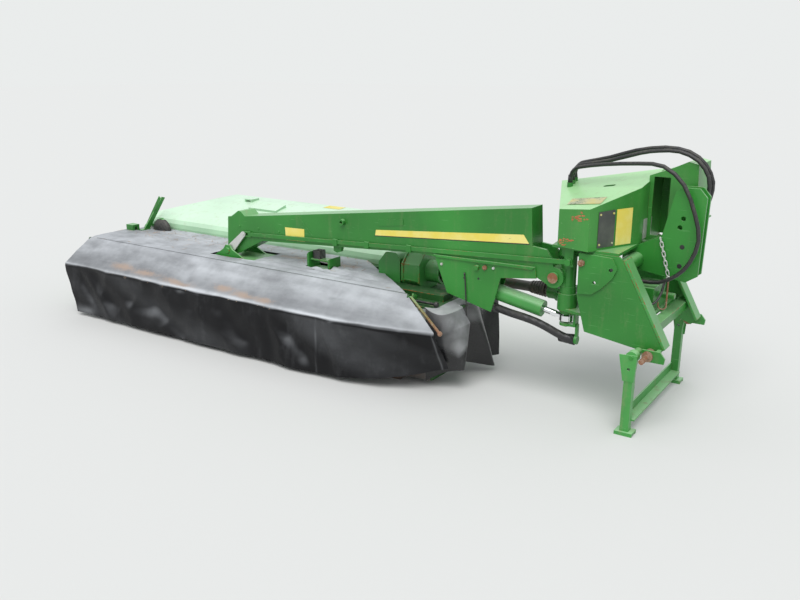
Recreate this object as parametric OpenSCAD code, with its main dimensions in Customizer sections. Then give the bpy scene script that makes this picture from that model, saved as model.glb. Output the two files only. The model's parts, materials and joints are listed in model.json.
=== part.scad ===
// Mounted disc mower-conditioner, folded back in line with its headstock.
// Millimetres. Inside the modules x = 0 is the line of the lower link pins,
// y = 0 the middle of the headstock and z = 0 the ground. The mower lies
// towards -x, its cutting side faces -y and the tractor would stand at +x.

/* [Hitch] */
// Height of the lower link pins above the ground
link_z = 430; // [380:5:500]
// Distance between the shoulders of the lower link pins
link_span = 825; // [700:5:900]
// Diameter of a lower link pin
link_pin_d = 28; // [22:0.5:37]
// Length of a lower link pin outside its shoulder
link_pin_l = 92; // [60:1:120]
// Height of the upper link hole above the lower link pins
mast_rise = 610; // [500:5:680]
// Diameter of the upper link holes
mast_bore_d = 25.7; // [19:0.1:33]
// Clear gap between the two mast plates
mast_gap = 54; // [45:1:90]
// Thickness of a mast plate
mast_t = 16; // [10:1:25]
// Diameter of the drive shaft stub
stub_d = 34.9; // [30:0.1:45]
// Length of the drive shaft stub
stub_l = 84; // [60:1:110]
// Height of the drive shaft stub
stub_z = 655; // [600:5:700]

/* [Headstock] */
// Length of the hub between a side plate and its link pin's shoulder
hub_l = 60.5; // [55:0.5:70]
// Thickness of the side plates
side_t = 12; // [8:1:20]
// Width of the flange along the front edge of a side plate
flange_w = 90; // [50:1:110]
// Level of the deck plate that carries the kingpin
deck_z = 915; // [900:1:925]
// Thickness of the deck plate
deck_t = 15; // [8:1:18]
// Distance from the hitch line back to the kingpin
king_x = 510; // [495:1:525]
// Sideways offset of the kingpin towards the cutting side
king_y = 250; // [240:1:255]
// Diameter of the kingpin
king_d = 84; // [70:1:90]
// Wall of the lower kingpin bearing
king_wall = 12; // [8:1:16]

/* [Swing arm] */
// Width of the arm
arm_w = 140; // [138:1:146]
// Thickness of the cheeks at both ends of the arm
cheek_t = 18; // [12:1:20]
// Height of the lift pin
lift_z = 745; // [738:1:750]
// Distance from the kingpin back to the lift pin
lift_back = 60; // [56:1:64]
// Diameter of the lift pin
lift_d = 64; // [50:1:68]
// Distance from the hitch line back to the mower's pivot
pivot_x = 3010; // [2950:5:3040]
// Height of the mower's pivot
pivot_z = 600; // [595:1:606]
// Diameter of the mower's pivot pin
pivot_d = 40; // [30:1:46]

/* [Lift cylinder] */
// Outer diameter of the barrel
barrel_d = 96; // [80:1:100]
// Length of the barrel
barrel_l = 400; // [380:5:405]
// Diameter of the piston rod
rod_d = 36; // [28:1:42]
// Diameter of the pin at each end
cyl_pin_d = 30; // [24:1:34]

/* [Mower] */
// Distance between neighbouring discs
disc_pitch = 420; // [400:1:430]
// Radius of the circle that the knife tips draw
knife_r = 238; // [220:1:242]
// Distance from the headstock's middle forward to the disc row
disc_y = 360; // [340:1:370]
// Thickness of the cutterbar
bar_t = 50; // [40:1:55]
// Distance from the mower's inner end to the first disc
disc_in = 430; // [420:1:440]
// Distance from the last disc to the mower's outer end
disc_out = 350; // [340:1:360]
// Distance from the hitch line back to the mower's inner end
inner_x = 1120; // [1100:5:1160]
// Height of the top of the deck
top_z = 540; // [535:1:545]
// Outer radius of the conditioner's tines
tine_r = 200; // [180:1:205]
// Distance from the headstock's middle back to the conditioner shaft
cond_y = 330; // [325:1:335]
// Height of the conditioner shaft
cond_z = 350; // [345:1:355]

/* [Covers] */
// Distance from the headstock's middle forward to the front curtain
front_y = 730; // [720:1:750]
// Height of the upper front edge
front_z = 400; // [390:1:410]
// Distance from the headstock's middle forward to the cover's hinge
ridge_y = 470; // [460:1:480]
// Gap between the front curtain's hem and the ground
hem_z = 28; // [15:1:60]
// Thickness of the coated fabric's solid
cloth_t = 6; // [4:1:8]
// Thickness of the hood's sheet
sheet_t = 5; // [3:1:6]

/* [Hoses] */
// Outer diameter of a hydraulic hose
hose_d = 22; // [16:1:24]
// Outer diameter of the thin return hose
loop_d = 13; // [10:1:16]
// Outer diameter of the wrapped bundle of hoses
bundle_d = 46; // [36:1:50]

/* [Hidden] */
$fn = 48;

fit = 0.05;
seat = 0.3;
discs = 7;
frame_w = link_span - 2 * hub_l;
disc_x0 = -inner_x - disc_in;
outer_x = -disc_x0 + (discs - 1) * disc_pitch + disc_out;
rear_y = 990;
mast_top = 1250;
mast_x1 = 130;
origin_x = (outer_x - mast_x1) / 2;
origin_y = (rear_y - front_y) / 2;

arm_y = -king_y;
near_y = arm_y - arm_w / 2;
far_y = arm_y + arm_w / 2;
cheek_in = arm_w / 2 - cheek_t;
lift_x = -king_x - lift_back;
rod_pin = [-king_x + 25, 845];
lever_pin = [-pivot_x + 137, pivot_z + 128];
rod_in = arm_w / 2 + 5.5;
rod_t = 8;
rod_h = 26;
rod_len = norm(rod_pin - lever_pin);
rod_pitch = atan2(rod_pin[1] - lever_pin[1], rod_pin[0] - lever_pin[0]);
hinge_y = -ridge_y - 10;
hinge_z = top_z;
hinge_d = 16;
eye_z = 512;
eye_x = -king_x;
tail_x = -1085;
tail_z = 622;
cyl_len = norm([tail_x - eye_x, tail_z - eye_z]);
cyl_pitch = atan2(tail_z - eye_z, eye_x - tail_x);
seat_lo = 560;
seat_hi = 655;
beam_y = arm_y;
beam_w = 120;
beam_h = 100;
deck_t2 = 12;
shelf_z = 490;
drive_y = arm_y + 175;
drive_z = 605;
stand_pivot = [-62, link_z];
stand_y = frame_w / 2 + 70;
stand_t = 45;
tarp_x = -inner_x - 870;
tarp_top = top_z + cloth_t + 2 * seat;
beam_top = top_z - deck_t2;
corner = [-inner_x - 24, -front_y + 110];

// Height of the arm's underside at x.
function arm_under(x) = 731 + (-665 - x) * 41 / 765;

module place() {
    translate([origin_x, -origin_y, 0]) children();
}

// A plate that stands in the XZ plane between y0 and y1, from points (x, z).
module plate_xz(points, y0, y1) {
    translate([0, y1, 0]) rotate([90, 0, 0]) linear_extrude(y1 - y0) polygon(points);
}

// A plate that stands in the YZ plane between x0 and x1, from points (y, z).
module plate_yz(points, x0, x1) {
    translate([x0, 0, 0]) rotate([90, 0, 90]) linear_extrude(x1 - x0) polygon(points);
}

// A cylinder along y from y0 to y1 through (x, z).
module rod_y(x, z, y0, y1, d) {
    translate([x, y1, z]) rotate([90, 0, 0]) cylinder(d = d, h = y1 - y0);
}

// A cylinder along x from x0 to x1 through (y, z).
module rod_x(y, z, x0, x1, d) {
    translate([x0, y, z]) rotate([0, 90, 0]) cylinder(d = d, h = x1 - x0);
}

// An outline with each corner rounded to radius r, by an arc of n steps.
function rounded(points, r, n = 4) = [for (i = [0 : len(points) - 1])
    let (p = points[i],
         a = points[(i + len(points) - 1) % len(points)] - p,
         b = points[(i + 1) % len(points)] - p,
         ua = a / norm(a), ub = b / norm(b),
         half = acos(ua * ub) / 2,
         mid = p + (ua + ub) / norm(ua + ub) * r / sin(half),
         start = p + ua * r / tan(half) - mid,
         turn = (90 - half) * 2 * sign(ua[1] * ub[0] - ua[0] * ub[1]))
    for (k = [0 : n]) mid + [start[0] * cos(turn * k / n) - start[1] * sin(turn * k / n),
                             start[0] * sin(turn * k / n) + start[1] * cos(turn * k / n)]];

// The outline of a side plate, seen from the side: (x, z).
side_outline = [[-415, deck_z], [-200, deck_z], [-180, 895], [60, link_z + 25], [20, link_z - 22], [-50, link_z + 7],
                [-365, link_z + 53], [-418, 675], [-415, 700]];

module side_plate(inner_y) {
    color("forestgreen") plate_xz(side_outline, inner_y, inner_y + side_t);
}

// The pivot of the parking stand stands out of each side plate.
module stand_pin(side) {
    color("forestgreen") scale([1, side, 1]) {
        rod_y(stand_pivot[0], stand_pivot[1], frame_w / 2 - side_t / 2, stand_y - 6, 44);
        rod_y(stand_pivot[0], stand_pivot[1], frame_w / 2, stand_y + stand_t + 10, 24);
    }
}

// Ear and floor that box in the hub of a lower link pin.
module link_ear(side) {
    color("forestgreen") scale([1, side, 1]) {
        difference() {
            plate_xz([[-30, link_z - 29], [84, link_z - 29], [88, link_z], [62, link_z + 32], [-30, link_z + 32]],
                frame_w / 2 + hub_l - 22, frame_w / 2 + hub_l - 10);
            rod_y(0, link_z, frame_w / 2, frame_w, 56 + 2 * seat);
        }
        translate([36, frame_w / 2 - 1, link_z + 10]) cube([20, hub_l - 10, 20]);
    }
}

module near_side_plate() {
    stand_pin(-1);
    link_ear(-1);
    difference() {
        union() {
            side_plate(-frame_w / 2);
            color("forestgreen") plate_xz([[-415, deck_z - 3], [-235, 905], [-205, 850], [-227, 798], [-285, 735],
                [-334, 697], [-412, 690]], -frame_w / 2 - side_t, -frame_w / 2);
        }
        for (hole = [[-240, 840], [-323, 762]])
            rod_y(hole[0], hole[1], -frame_w, 0, 18);
    }
}

module far_side_plate() {
    stand_pin(1);
    link_ear(1);
    side_plate(frame_w / 2 - side_t);
}

// Flanges folded inwards along the front edges of both side plates.
module front_flanges() {
    color("forestgreen") for (side = [-1, 1]) {
        y0 = side < 0 ? -frame_w / 2 : frame_w / 2 - flange_w;
        plate_xz([[-180, 895.3], [60.3, link_z + 25], [72, link_z + 32], [-166, 905]], y0, y0 + flange_w);
    }
}

module deck_plate() {
    color("forestgreen") difference() {
        translate([0, 0, deck_z]) linear_extrude(deck_t) polygon([[-206, 7 - frame_w / 2], [-206, frame_w / 2 - 7],
            [-420, frame_w / 2 - 7], [-king_x - 210, 200], [-king_x - 90, arm_y + 50], [-king_x - 75, arm_y - 70],
            [-415, 7 - frame_w / 2]]);
        translate([-king_x, arm_y, deck_z - 1]) cylinder(d = king_d + 2 * fit, h = deck_t + 2);
    }
}

// The lower bearing of the kingpin, on a shelf between the side plates that
// also carries the gearbox.
shelf_lo = stub_z - 95;
module kingpin_seat() {
    color("forestgreen") difference() {
        union() {
            translate([-king_x, arm_y, seat_lo]) cylinder(d = king_d + 2 * king_wall, h = seat_hi - seat_lo);
            translate([0, 0, shelf_lo]) linear_extrude(15) polygon([[-65, -frame_w / 2 + side_t],
                [-65, frame_w / 2 - side_t], [-370, frame_w / 2 - side_t], [-king_x - 20, arm_y + 45],
                [-king_x - 45, arm_y], [-king_x - 20, arm_y - 45], [-380, -frame_w / 2 + side_t]]);
        }
        translate([-king_x, arm_y, seat_lo - 20]) cylinder(d = king_d + 2 * fit, h = seat_hi - seat_lo + 40);
    }
}

tube_pos = [-212, 842];
tube_d = 84;
module cross_tube() {
    color("forestgreen") {
        rod_y(tube_pos[0], tube_pos[1], -frame_w / 2 + side_t, frame_w / 2 - side_t, tube_d);
        translate([-60, -frame_w / 2 + side_t, 510]) cube([60, frame_w - 2 * side_t, 50]);
    }
}

// A mast plate's outline, seen from the side: (x, z).
mast_outline = [[-85, 985], [-30, 1226], [0, mast_top], [90, mast_top], [mast_x1, 1205], [mast_x1 - 10, 790], [60, 750],
                [-200, 790], [-260, 830], [-260, deck_z], [-205.7, deck_z], [-205.7, 925]];

// The two plates that take the upper link, with two holes in each.
module mast_plates() {
    color("forestgreen") difference() {
        for (side = [-1, 1]) {
            y0 = side < 0 ? -mast_gap / 2 - mast_t : mast_gap / 2;
            plate_xz(mast_outline, y0, y0 + mast_t);
        }
        for (hole = [[20, link_z + mast_rise + 48], [6, link_z + mast_rise]])
            rod_y(hole[0], hole[1], -mast_gap, mast_gap, mast_bore_d);
        rod_y(tube_pos[0], tube_pos[1], -mast_gap, mast_gap, tube_d + 2 * seat);
    }
}

// The cover's outline in plan, from the outer corner round to the back.
cover_plan = [[-545, 5 - frame_w / 2], [-355, -frame_w / 2 - 50], [-206, -60], [-206, frame_w / 2 - 22],
              [-800, frame_w / 2 - 72]];
cover_low = 1130;
cover_turn = [9.1, -9.6, 0];

// The cover's outer or inner form: its lid slopes up towards the tractor and
// away from the cutting side.
module cover_form(inset, drop) {
    difference() {
        translate([0, 0, deck_z + deck_t]) linear_extrude(400) offset(delta = -inset) polygon(cover_plan);
        above_lid(-drop) translate([-1500, -1500, 0]) cube([4000, 4000, 900]);
    }
}

// Lays its children on the plane of the lid.
module above_lid(rise) {
    translate([cover_plan[0][0], cover_plan[0][1], cover_low + rise]) rotate(cover_turn) children();
}

// The far half of the cover, beside the mast, seen from the side: (x, z).
far_side = [[-212, deck_z + deck_t], [-212, 1284], [-198, 1290], [-88, 1333], [-12, 1370], [42, 1358], [48, 1246], [38, 1010],
            [-70, deck_z + deck_t]];
far_cover_y = [80, frame_w / 2 - 22];
module headstock_cover() {
    color("limegreen") {
        difference() {
            cover_form(0, 0);
            translate([0, 0, -1]) cover_form(sheet_t, sheet_t);
            above_lid(0) for (x = [115, 155]) translate([x, 405, -20]) cylinder(d = 30, h = 40);
            above_lid(0) translate([115, 390, -20]) cube([40, 30, 40]);
            translate([-300, far_cover_y[0] + 12, deck_z]) cube([150, far_cover_y[1] - far_cover_y[0] - 24, 250]);
        }
        difference() {
            plate_xz(far_side, far_cover_y[0], far_cover_y[1]);
            plate_xz([[-212 + sheet_t, deck_z], [-212 + sheet_t, 1280], [-198, 1285], [-90, 1327], [-12, 1364], [37, 1353],
                [42, 1246], [33, 1012], [-73, deck_z]], far_cover_y[0] + sheet_t, far_cover_y[1] - sheet_t);
            translate([-185, far_cover_y[0] - 1, 960]) cube([88, sheet_t + 2, 320]);
        }
    }
}

// Turned pins that the tractor's lower links take.
module lower_link_pins() {
    color("sienna") for (side = [-1, 1]) scale([1, side, 1]) {
        rod_y(0, link_z, frame_w / 2, link_span / 2, 56);
        rod_y(0, link_z, link_span / 2, link_span / 2 + link_pin_l, link_pin_d);
    }
}

// Gearbox at the back of the mast with its splined stub.
module input_gearbox() {
    color("forestgreen") {
        translate([-295, -110, stub_z - 80]) cube([215, 220, 135]);
        rod_x(0, stub_z, -81, stub_l - 80, stub_d);
    }
}

// Two legs with gusset plates at their pivots, joined by an angle bar.
leg_w = 46;
bar_z = 68;
module parking_stand() {
    color("forestgreen") {
        for (side = [-1, 1]) scale([1, side, 1]) difference() {
            union() {
                plate_xz([[-90, link_z], [-36, link_z], [-46, 340], [-48, 20], [-48 - leg_w, 20], [-92, 340]],
                    stand_y, stand_y + stand_t);
                plate_xz([[-124, link_z + 10], [-30, link_z + 16], [-40, 300], [-98, 300]], stand_y + stand_t,
                    stand_y + stand_t + 6);
                rod_y(stand_pivot[0], stand_pivot[1], stand_y, stand_y + stand_t, 64);
                translate([-118, stand_y - 15, 8]) cube([94, 75, 12]);
                translate([-118, stand_y - 15, 0]) cube([94, 12, 12]);
                translate([-118, stand_y + 48, 0]) cube([94, 12, 12]);
            }
            rod_y(stand_pivot[0], stand_pivot[1], stand_y - 1, stand_y + stand_t + 7, 24 + 2 * fit);
            rod_y(-70, 366, stand_y - 1, stand_y + stand_t + 7, 16);
        }
        translate([-48 - leg_w, -stand_y, bar_z]) cube([8, 2 * stand_y, 56]);
        translate([-48 - leg_w, -stand_y, bar_z]) cube([60, 2 * stand_y, 8]);
    }
}

// Smooth places along a route: each stretch between its points in n steps,
// the first and the last stretch straight.
function along(p, n) = concat([for (i = [0 : len(p) - 2], k = [0 : n - 1])
    let (t = k / n, b = p[i], c = p[i + 1])
    i == 0 || i == len(p) - 2 ? b + (c - b) * t : bend(p[i - 1], b, c, p[i + 2], t)], [p[len(p) - 1]]);
function bend(a, b, c, d, t) =
    0.5 * (2 * b + (c - a) * t + (2 * a - 5 * b + 4 * c - d) * t * t + (3 * b - a - 3 * c + d) * t * t * t);

// The direction of a line of places at place i.
function heading(p, i) = let (run = p[min(i + 1, len(p) - 1)] - p[max(i - 1, 0)]) run / norm(run);

// A direction square to the line at each place, turned as little as can be.
function sides(p, last, i = 0) = i == len(p) ? [] :
    let (h = heading(p, i), s = last - (last * h) * h, u = s / norm(s)) concat([u], sides(p, u, i + 1));

// A tube of diameter d along a route, with a ring at each place.
module hose(route, n, d) {
    line = along(route, n);
    across = sides(line, [0.1, 1, 0.2]);
    rings = len(line);
    corners = [for (i = [0 : rings - 1], k = [0 : 7])
        line[i] + d / 2 * (cos(45 * k) * across[i] + sin(45 * k) * cross(heading(line, i), across[i]))];
    skin = [for (i = [0 : rings - 2], k = [0 : 7])
        [8 * i + k, 8 * i + (k + 1) % 8, 8 * i + 8 + (k + 1) % 8, 8 * i + 8 + k]];
    ends = [[for (k = [0 : 7]) 7 - k], [for (k = [0 : 7]) 8 * (rings - 1) + k]];
    color("black") polyhedron(corners, concat(skin, ends));
}

// Routes of the hoses that stand over the cover and end in the rack on the
// far mast plate or on the gearbox.
route_a = [[-700, 235, 1222], [-700, 235, 1260], [-600, 185, 1300], [-460, 140, 1355], [-310, 115, 1410],
           [-150, 105, 1438], [-20, 105, 1434], [70, 105, 1365], [124, 105, 1260], [106, 105, 1180],
           [92, 105, 1145], [92, 105, 1115]];
route_b = [[-690, 175, 1214], [-690, 175, 1245], [-590, 130, 1280], [-440, 95, 1340], [-270, 70, 1402],
           [-60, 65, 1430], [50, 65, 1390], [112, 65, 1310], [108, 65, 1200], [92, 65, 1145], [92, 65, 1115]];
route_c = [[-680, 115, 1206], [-680, 115, 1238], [-590, 80, 1272], [-450, 20, 1326], [-240, -40, 1358],
           [-100, -62, 1354], [15, -75, 1268], [86, -80, 1120], [117, -82, 990], [84, -86, 870], [24, -92, 793],
           [-62, -95, 745], [-150, -95, 738], [-230, -85, 736], [-250, -85, 736]];
route_loop = [[-212, -150, 788], [-212, -150, 745], [-198, -150, 692], [-162, -150, 646], [-114, -142, 622],
              [-70, -118, 634], [-52, -80, 674], [-50, -46, 716], [-50, -35, 738], [-50, -35, 750]];
route_bundle = [[-1000, -280, 524], [-940, -284, 511], [-830, -298, 496], [-742, -302, 486], [-667, -298, 470],
                [-610, -286, 447], [-560, -272, 421], [-515, -260, 401], [-480, -252, 394], [-462, -250, 392],
                [-452, -250, 392]];
route_cord = [[-1115, -334, 700], [-1107, -337, 640], [-1098, -340, 540], [-1091, -340, 420], [-1088, -339, 290]];

module hose_a() {
    hose(route_a, 2, hose_d);
}

module hose_b() {
    hose(route_b, 2, hose_d);
}

module hose_c() {
    hose(route_c, 2, hose_d);
}

module hose_loop() {
    hose(route_loop, 1, loop_d);
}

module hose_bundle() {
    hose(route_bundle, 1, bundle_d);
}

module pull_cord() {
    hose(route_cord, 1, 8);
}

// Glands on the lid and the cross tube, the rack beside the mast and the
// port on the gearbox.
module hose_mounts() {
    color("dimgray") {
        for (p = [route_a[0], route_b[0], route_c[0]]) difference() {
            translate([p[0], p[1], p[2] - 60]) cylinder(d = hose_d + 12, h = 60);
            above_lid(0) translate([-1500, -1500, -900]) cube([4000, 4000, 900]);
        }
        for (p = [route_a[11], route_b[10]])
            translate([p[0], p[1], 1093]) cylinder(d = hose_d + 12, h = p[2] - 1093);
        difference() {
            translate(route_loop[0]) cylinder(d = loop_d + 8, h = 20);
            rod_y(tube_pos[0], tube_pos[1], -200, 0, tube_d);
        }
        difference() {
            translate(route_loop[9]) cylinder(d = loop_d + 2, h = 40);
            plate_xz(mast_outline, -mast_gap, 0);
        }
    }
    color("forestgreen") {
        translate([62, mast_gap / 2 + mast_t, 1085]) cube([56, 86, 8]);
        translate([-290, -110, stub_z + 55]) cube([40, 50, 52]);
    }
}

// Link of a chain along z, with its lower bend at the origin.
link_in = 26;
link_wire = 6;
module chain_link() {
    for (end = [0, 1]) translate([0, 0, link_wire / 2 + 4.5 + end * (link_in - 9)]) rotate([90, 0, 0])
        rotate([0, 0, end * 180 + 180]) rotate_extrude(angle = 180, $fn = 24) translate([7.5, 0]) circle(d = link_wire);
    for (side = [-1, 1]) translate([side * 7.5, 0, link_wire / 2 + 4.5]) cylinder(d = link_wire, h = link_in - 9);
}

// Chain from a bolt on the near mast plate down to a long rusty hook.
chain_top = [-85, -58, 975];
chain_run = [-24, -58, 765];
hook_l = 145;
module check_chain() {
    tilt = atan2(chain_run[0] - chain_top[0], chain_top[2] - chain_run[2]);
    count = 8;
    color("silver") {
        rod_y(chain_top[0], chain_top[2], -68, -mast_gap / 2 - mast_t, 8);
        translate(chain_top) rotate([0, -tilt, 0]) for (i = [1 : count]) rotate([0, 0, 90 * (i % 2)])
            translate([0, 0, 4 + seat + 4.5 - i * (link_in - seat) - link_wire / 2 - 4.5]) chain_link();
    }
    hook_z = chain_top[2] - cos(tilt) * (count * (link_in - seat) + 14);
    hook_x = chain_top[0] + sin(tilt) * (count * (link_in - seat) + 14);
    color("sienna") {
        translate([hook_x, chain_top[1], hook_z]) rotate([90, 0, 0]) rotate_extrude($fn = 24)
            translate([9, 0]) circle(d = 9);
        translate([hook_x, chain_top[1], hook_z - 9 - hook_l]) cylinder(d = 9, h = hook_l);
        translate([hook_x - 22, chain_top[1], hook_z - 9 - hook_l]) rotate([90, 0, 0]) rotate([0, 0, 180])
            rotate_extrude(angle = 180, $fn = 24) translate([22, 0]) circle(d = 9);
        translate([hook_x - 44, chain_top[1], hook_z - 9 - hook_l]) cylinder(d = 9, h = 14);
    }
}

// Kingpin with the boss of the lift pin, the lug of the levelling rod, the
// ears of the lift cylinder and the bracket of the drive's gearbox.
module swivel() {
    color("darkgreen") {
        translate([-king_x, arm_y, 548]) cylinder(d = king_d, h = deck_z + deck_t - 3 - 548);
        translate([-king_x, arm_y, seat_hi + seat]) cylinder(d = king_d + 8, h = 40);
        translate([-king_x, arm_y, 868]) cylinder(d = king_d + 30, h = deck_z - seat - 868);
        rod_y(lift_x, lift_z, arm_y - cheek_in + 5, arm_y + cheek_in - 5, 110);
        translate([lift_x, arm_y - 46, lift_z - 50]) cube([lift_back, 92, 100]);
        rod_y(lift_x, lift_z, near_y - 12, far_y + 12, lift_d);
        translate([-king_x, arm_y - rod_in + seat, 820]) cube([50, rod_in - seat - 40, deck_z - seat - 820]);
        rod_y(rod_pin[0], rod_pin[1], arm_y - rod_in - rod_t - 12, arm_y - 50, 20);
        rod_y(rod_pin[0], rod_pin[1], arm_y - rod_in - rod_t - 12, arm_y - rod_in - rod_t - seat, 34);
        translate([eye_x, arm_y, 538]) cylinder(d = 72, h = 16);
        translate([eye_x, arm_y, 470]) cylinder(d = 72, h = 14);
        translate([eye_x + 50, arm_y - 25, 470]) cube([14, 50, 84]);
        translate([eye_x, arm_y - 25, 540]) cube([60, 50, 14]);
        translate([eye_x, arm_y - 25, 470]) cube([60, 50, 14]);
        translate([eye_x, arm_y, 462]) cylinder(d = cyl_pin_d, h = 90);
        translate([0, 0, seat_hi + 2]) linear_extrude(15) polygon([[-king_x - 20, arm_y - 40], [-king_x + 30, arm_y + 35],
            [-590, drive_y + 60], [-695, drive_y + 60], [-695, drive_y - 60]]);
        translate([-690, drive_y - 45, drive_z]) cube([95, 90, seat_hi + 3 - drive_z]);
        rod_x(drive_y, drive_z, -690, -king_x - 12, 100);
        rod_x(drive_y, drive_z, -640, -620, 118);
        translate([eye_x + 60, arm_y - 12, 392]) cube([14, 24, 92]);
        rod_x(arm_y, 392, eye_x + 58, eye_x + 74, 50);
    }
}

// The arm seen from the side: (x, z), without its two bosses.
arm_outline = [[-3000, 838], [-2930, 884], [-2906, 882], [-2870, 851.5], [-715, 1115], [-702, 905], [-620, 895], [-585, 850], [lift_x, lift_z + 50],
               [lift_x - 20, lift_z - 50], [-665, 731], [-1430, arm_under(-1430)], [-2038, 737], [-2716, 696],
               [-pivot_x + 60, pivot_z - 20], [-pivot_x, pivot_z - 38], [-pivot_x - 38, pivot_z],
               [-pivot_x - 20, 835]];
module arm_beam() {
    color("forestgreen") difference() {
        union() {
            plate_xz(arm_outline, near_y, far_y);
            rod_y(lift_x, lift_z, near_y, far_y, 116);
            rod_y(-pivot_x, pivot_z, near_y, far_y, 80);
            rod_y(-2010, 902, near_y - 24, near_y, 40);
            plate_xz([[-2107, 728], [-2107, 700], [-2080, 690], [-2050, 700], [-2038, 738]], near_y + 20, near_y + 45);
        }
        rod_y(-2010, 902, near_y - 30, near_y + 30, 20);
        translate([-702, arm_y - cheek_in, 600]) cube([300, 2 * cheek_in, 305]);
        translate([-pivot_x - 80, arm_y - cheek_in, 500]) cube([220, 2 * cheek_in, 170]);
        rod_y(lift_x, lift_z, near_y - 1, far_y + 1, lift_d + 2 * fit);
        rod_y(-pivot_x, pivot_z, near_y - 1, far_y + 1, pivot_d + 2 * fit);
    }
}

// The pair of plates under the arm that hold the tail of the lift cylinder.
pod_outline = [[-1325, 781], [-1234, 561], [-941, 490], [-920, 560], [-885, 700], [-666, 728], [-674, 792]];
pod_inner = [[-1280, arm_under(-1280)], [-1200, 575], [-960, 520], [-900, arm_under(-900)]];
module arm_pod() {
    color("forestgreen") {
        plate_xz(pod_outline, near_y - 10, near_y - seat);
        plate_xz([[-1325, 783], [-1300, 770], [-690, 776], [-674, 792]], near_y - 22, near_y - 10);
        rod_y(-1035, 742, near_y - 30, near_y - 10, 30);
        for (y0 = [near_y, far_y - 10]) plate_xz(pod_inner, y0, y0 + 10);
        rod_y(tail_x, tail_z, near_y, far_y, cyl_pin_d);
    }
}

module along_rod() {
    translate([rod_pin[0], arm_y, rod_pin[1]]) rotate([0, -rod_pitch, 0]) children();
}

// Flat rod that keeps the mower level; its outer eye is a slot.
slot_l = 40;
module levelling_rod() {
    color("forestgreen") along_rod() difference() {
        union() {
            translate([-rod_len, -rod_in - rod_t, -rod_h / 2]) cube([rod_len, rod_t, rod_h]);
            rod_y(0, 0, -rod_in - rod_t, -rod_in, 46);
            translate([-rod_len - 22, -rod_in - rod_t, -20]) cube([slot_l + 44, rod_t, 40]);
        }
        rod_y(0, 0, -rod_in - rod_t - 1, -rod_in + 1, 20 + 2 * fit);
        for (x = [-rod_len, -rod_len + slot_l - 10]) rod_y(x, 0, -rod_in - rod_t - 1, -rod_in + 1, 20);
        translate([-rod_len, -rod_in - rod_t - 1, -10]) cube([slot_l - 10, rod_t + 2, 20]);
    }
}

// Lever on the mower's pivot that the outer end of the rod guides.
module arm_lever() {
    y0 = arm_y - rod_in - rod_t - 2;
    color("gainsboro") difference() {
        union() {
            plate_xz([[lever_pin[0] - 14, lever_pin[1] + 12], [lever_pin[0] + 14, lever_pin[1] - 12],
                [-pivot_x + 24, pivot_z - 24], [-pivot_x - 24, pivot_z + 24]], y0 - 10, y0);
            rod_y(lever_pin[0], lever_pin[1], y0 - 10, y0, 40);
            rod_y(-pivot_x, pivot_z, y0 - 10, y0, 68);
            rod_y(lever_pin[0], lever_pin[1], y0 - 14, y0 + rod_t, 16);
        }
        rod_y(-pivot_x, pivot_z, y0 - 11, y0 + 1, pivot_d + 2 * fit);
    }
}

module along_cylinder() {
    translate([tail_x, arm_y, tail_z]) rotate([0, cyl_pitch, 0]) children();
}

module cylinder_barrel() {
    color("forestgreen") along_cylinder() difference() {
        union() {
            rotate([0, 90, 0]) translate([0, 0, 45]) cylinder(d = barrel_d, h = barrel_l);
            rotate([90, 0, 0]) translate([0, 0, -35]) cylinder(d = 70, h = 70);
            translate([0, -25, -28]) cube([60, 50, 56]);
        }
        rotate([90, 0, 0]) translate([0, 0, -36]) cylinder(d = cyl_pin_d + 2 * fit, h = 72);
        rotate([0, 90, 0]) translate([0, 0, 245]) cylinder(d = rod_d + 2 * fit, h = barrel_l);
    }
}

module cylinder_rod() {
    color("silver") along_cylinder() difference() {
        union() {
            rotate([0, 90, 0]) translate([0, 0, 330]) cylinder(d = rod_d, h = cyl_len - 330 - 62);
            translate([cyl_len - 90, -20, -9]) cube([58, 40, 18]);
        }
    }
    color("forestgreen") difference() {
        translate([eye_x, arm_y, eye_z - 15]) cylinder(d = 76, h = 30);
        translate([eye_x, arm_y, eye_z - 16]) cylinder(d = cyl_pin_d + 16, h = 32);
    }
}

// Bracket on the deck that the arm's outer end is pinned into.
module pivot_bracket() {
    color("forestgreen") {
        translate([-3150, near_y - 55, top_z]) cube([400, arm_w + 110, 14]);
        for (side = [-1, 1]) translate([0, arm_y, 0]) scale([1, side, 1]) {
            plate_xz([[-3140, top_z + 14], [-2850, top_z + 14], [-pivot_x + 42, pivot_z + 10],
                [-pivot_x + 20, pivot_z + 40], [-pivot_x - 20, pivot_z + 40], [-pivot_x - 42, pivot_z + 10]],
                arm_w / 2 + 30, arm_w / 2 + 44);
        }
        rod_y(-pivot_x, pivot_z, near_y - 50, far_y + 50, pivot_d);
    }
}

// The box beam that runs the length of the mower under the deck.
module main_beam() {
    color("forestgreen") translate([-outer_x + 30, beam_y - beam_w / 2, top_z - deck_t2 - beam_h])
        cube([outer_x - inner_x - 180, beam_w, beam_h]);
}

// Upper deck, cut back at a slant where the drive comes in.
deck_plan = [[-outer_x + 20, -ridge_y + 12], [-inner_x - 265, -ridge_y + 12], [tarp_x, -110], [tarp_x, 100],
             [-outer_x + 20, 100]];
frame_x1 = -inner_x - 290;
module deck() {
    color("forestgreen") difference() {
        union() {
            translate([0, 0, top_z - deck_t2]) linear_extrude(deck_t2) polygon(deck_plan);
            hinge_ear(frame_x1 + seat, -ridge_y + 13);
            hinge_ear(-outer_x + 20, -ridge_y + 13);
        }
        rod_x(hinge_y, hinge_z, -outer_x, -inner_x, hinge_d + 2 * fit);
    }
}

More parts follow.
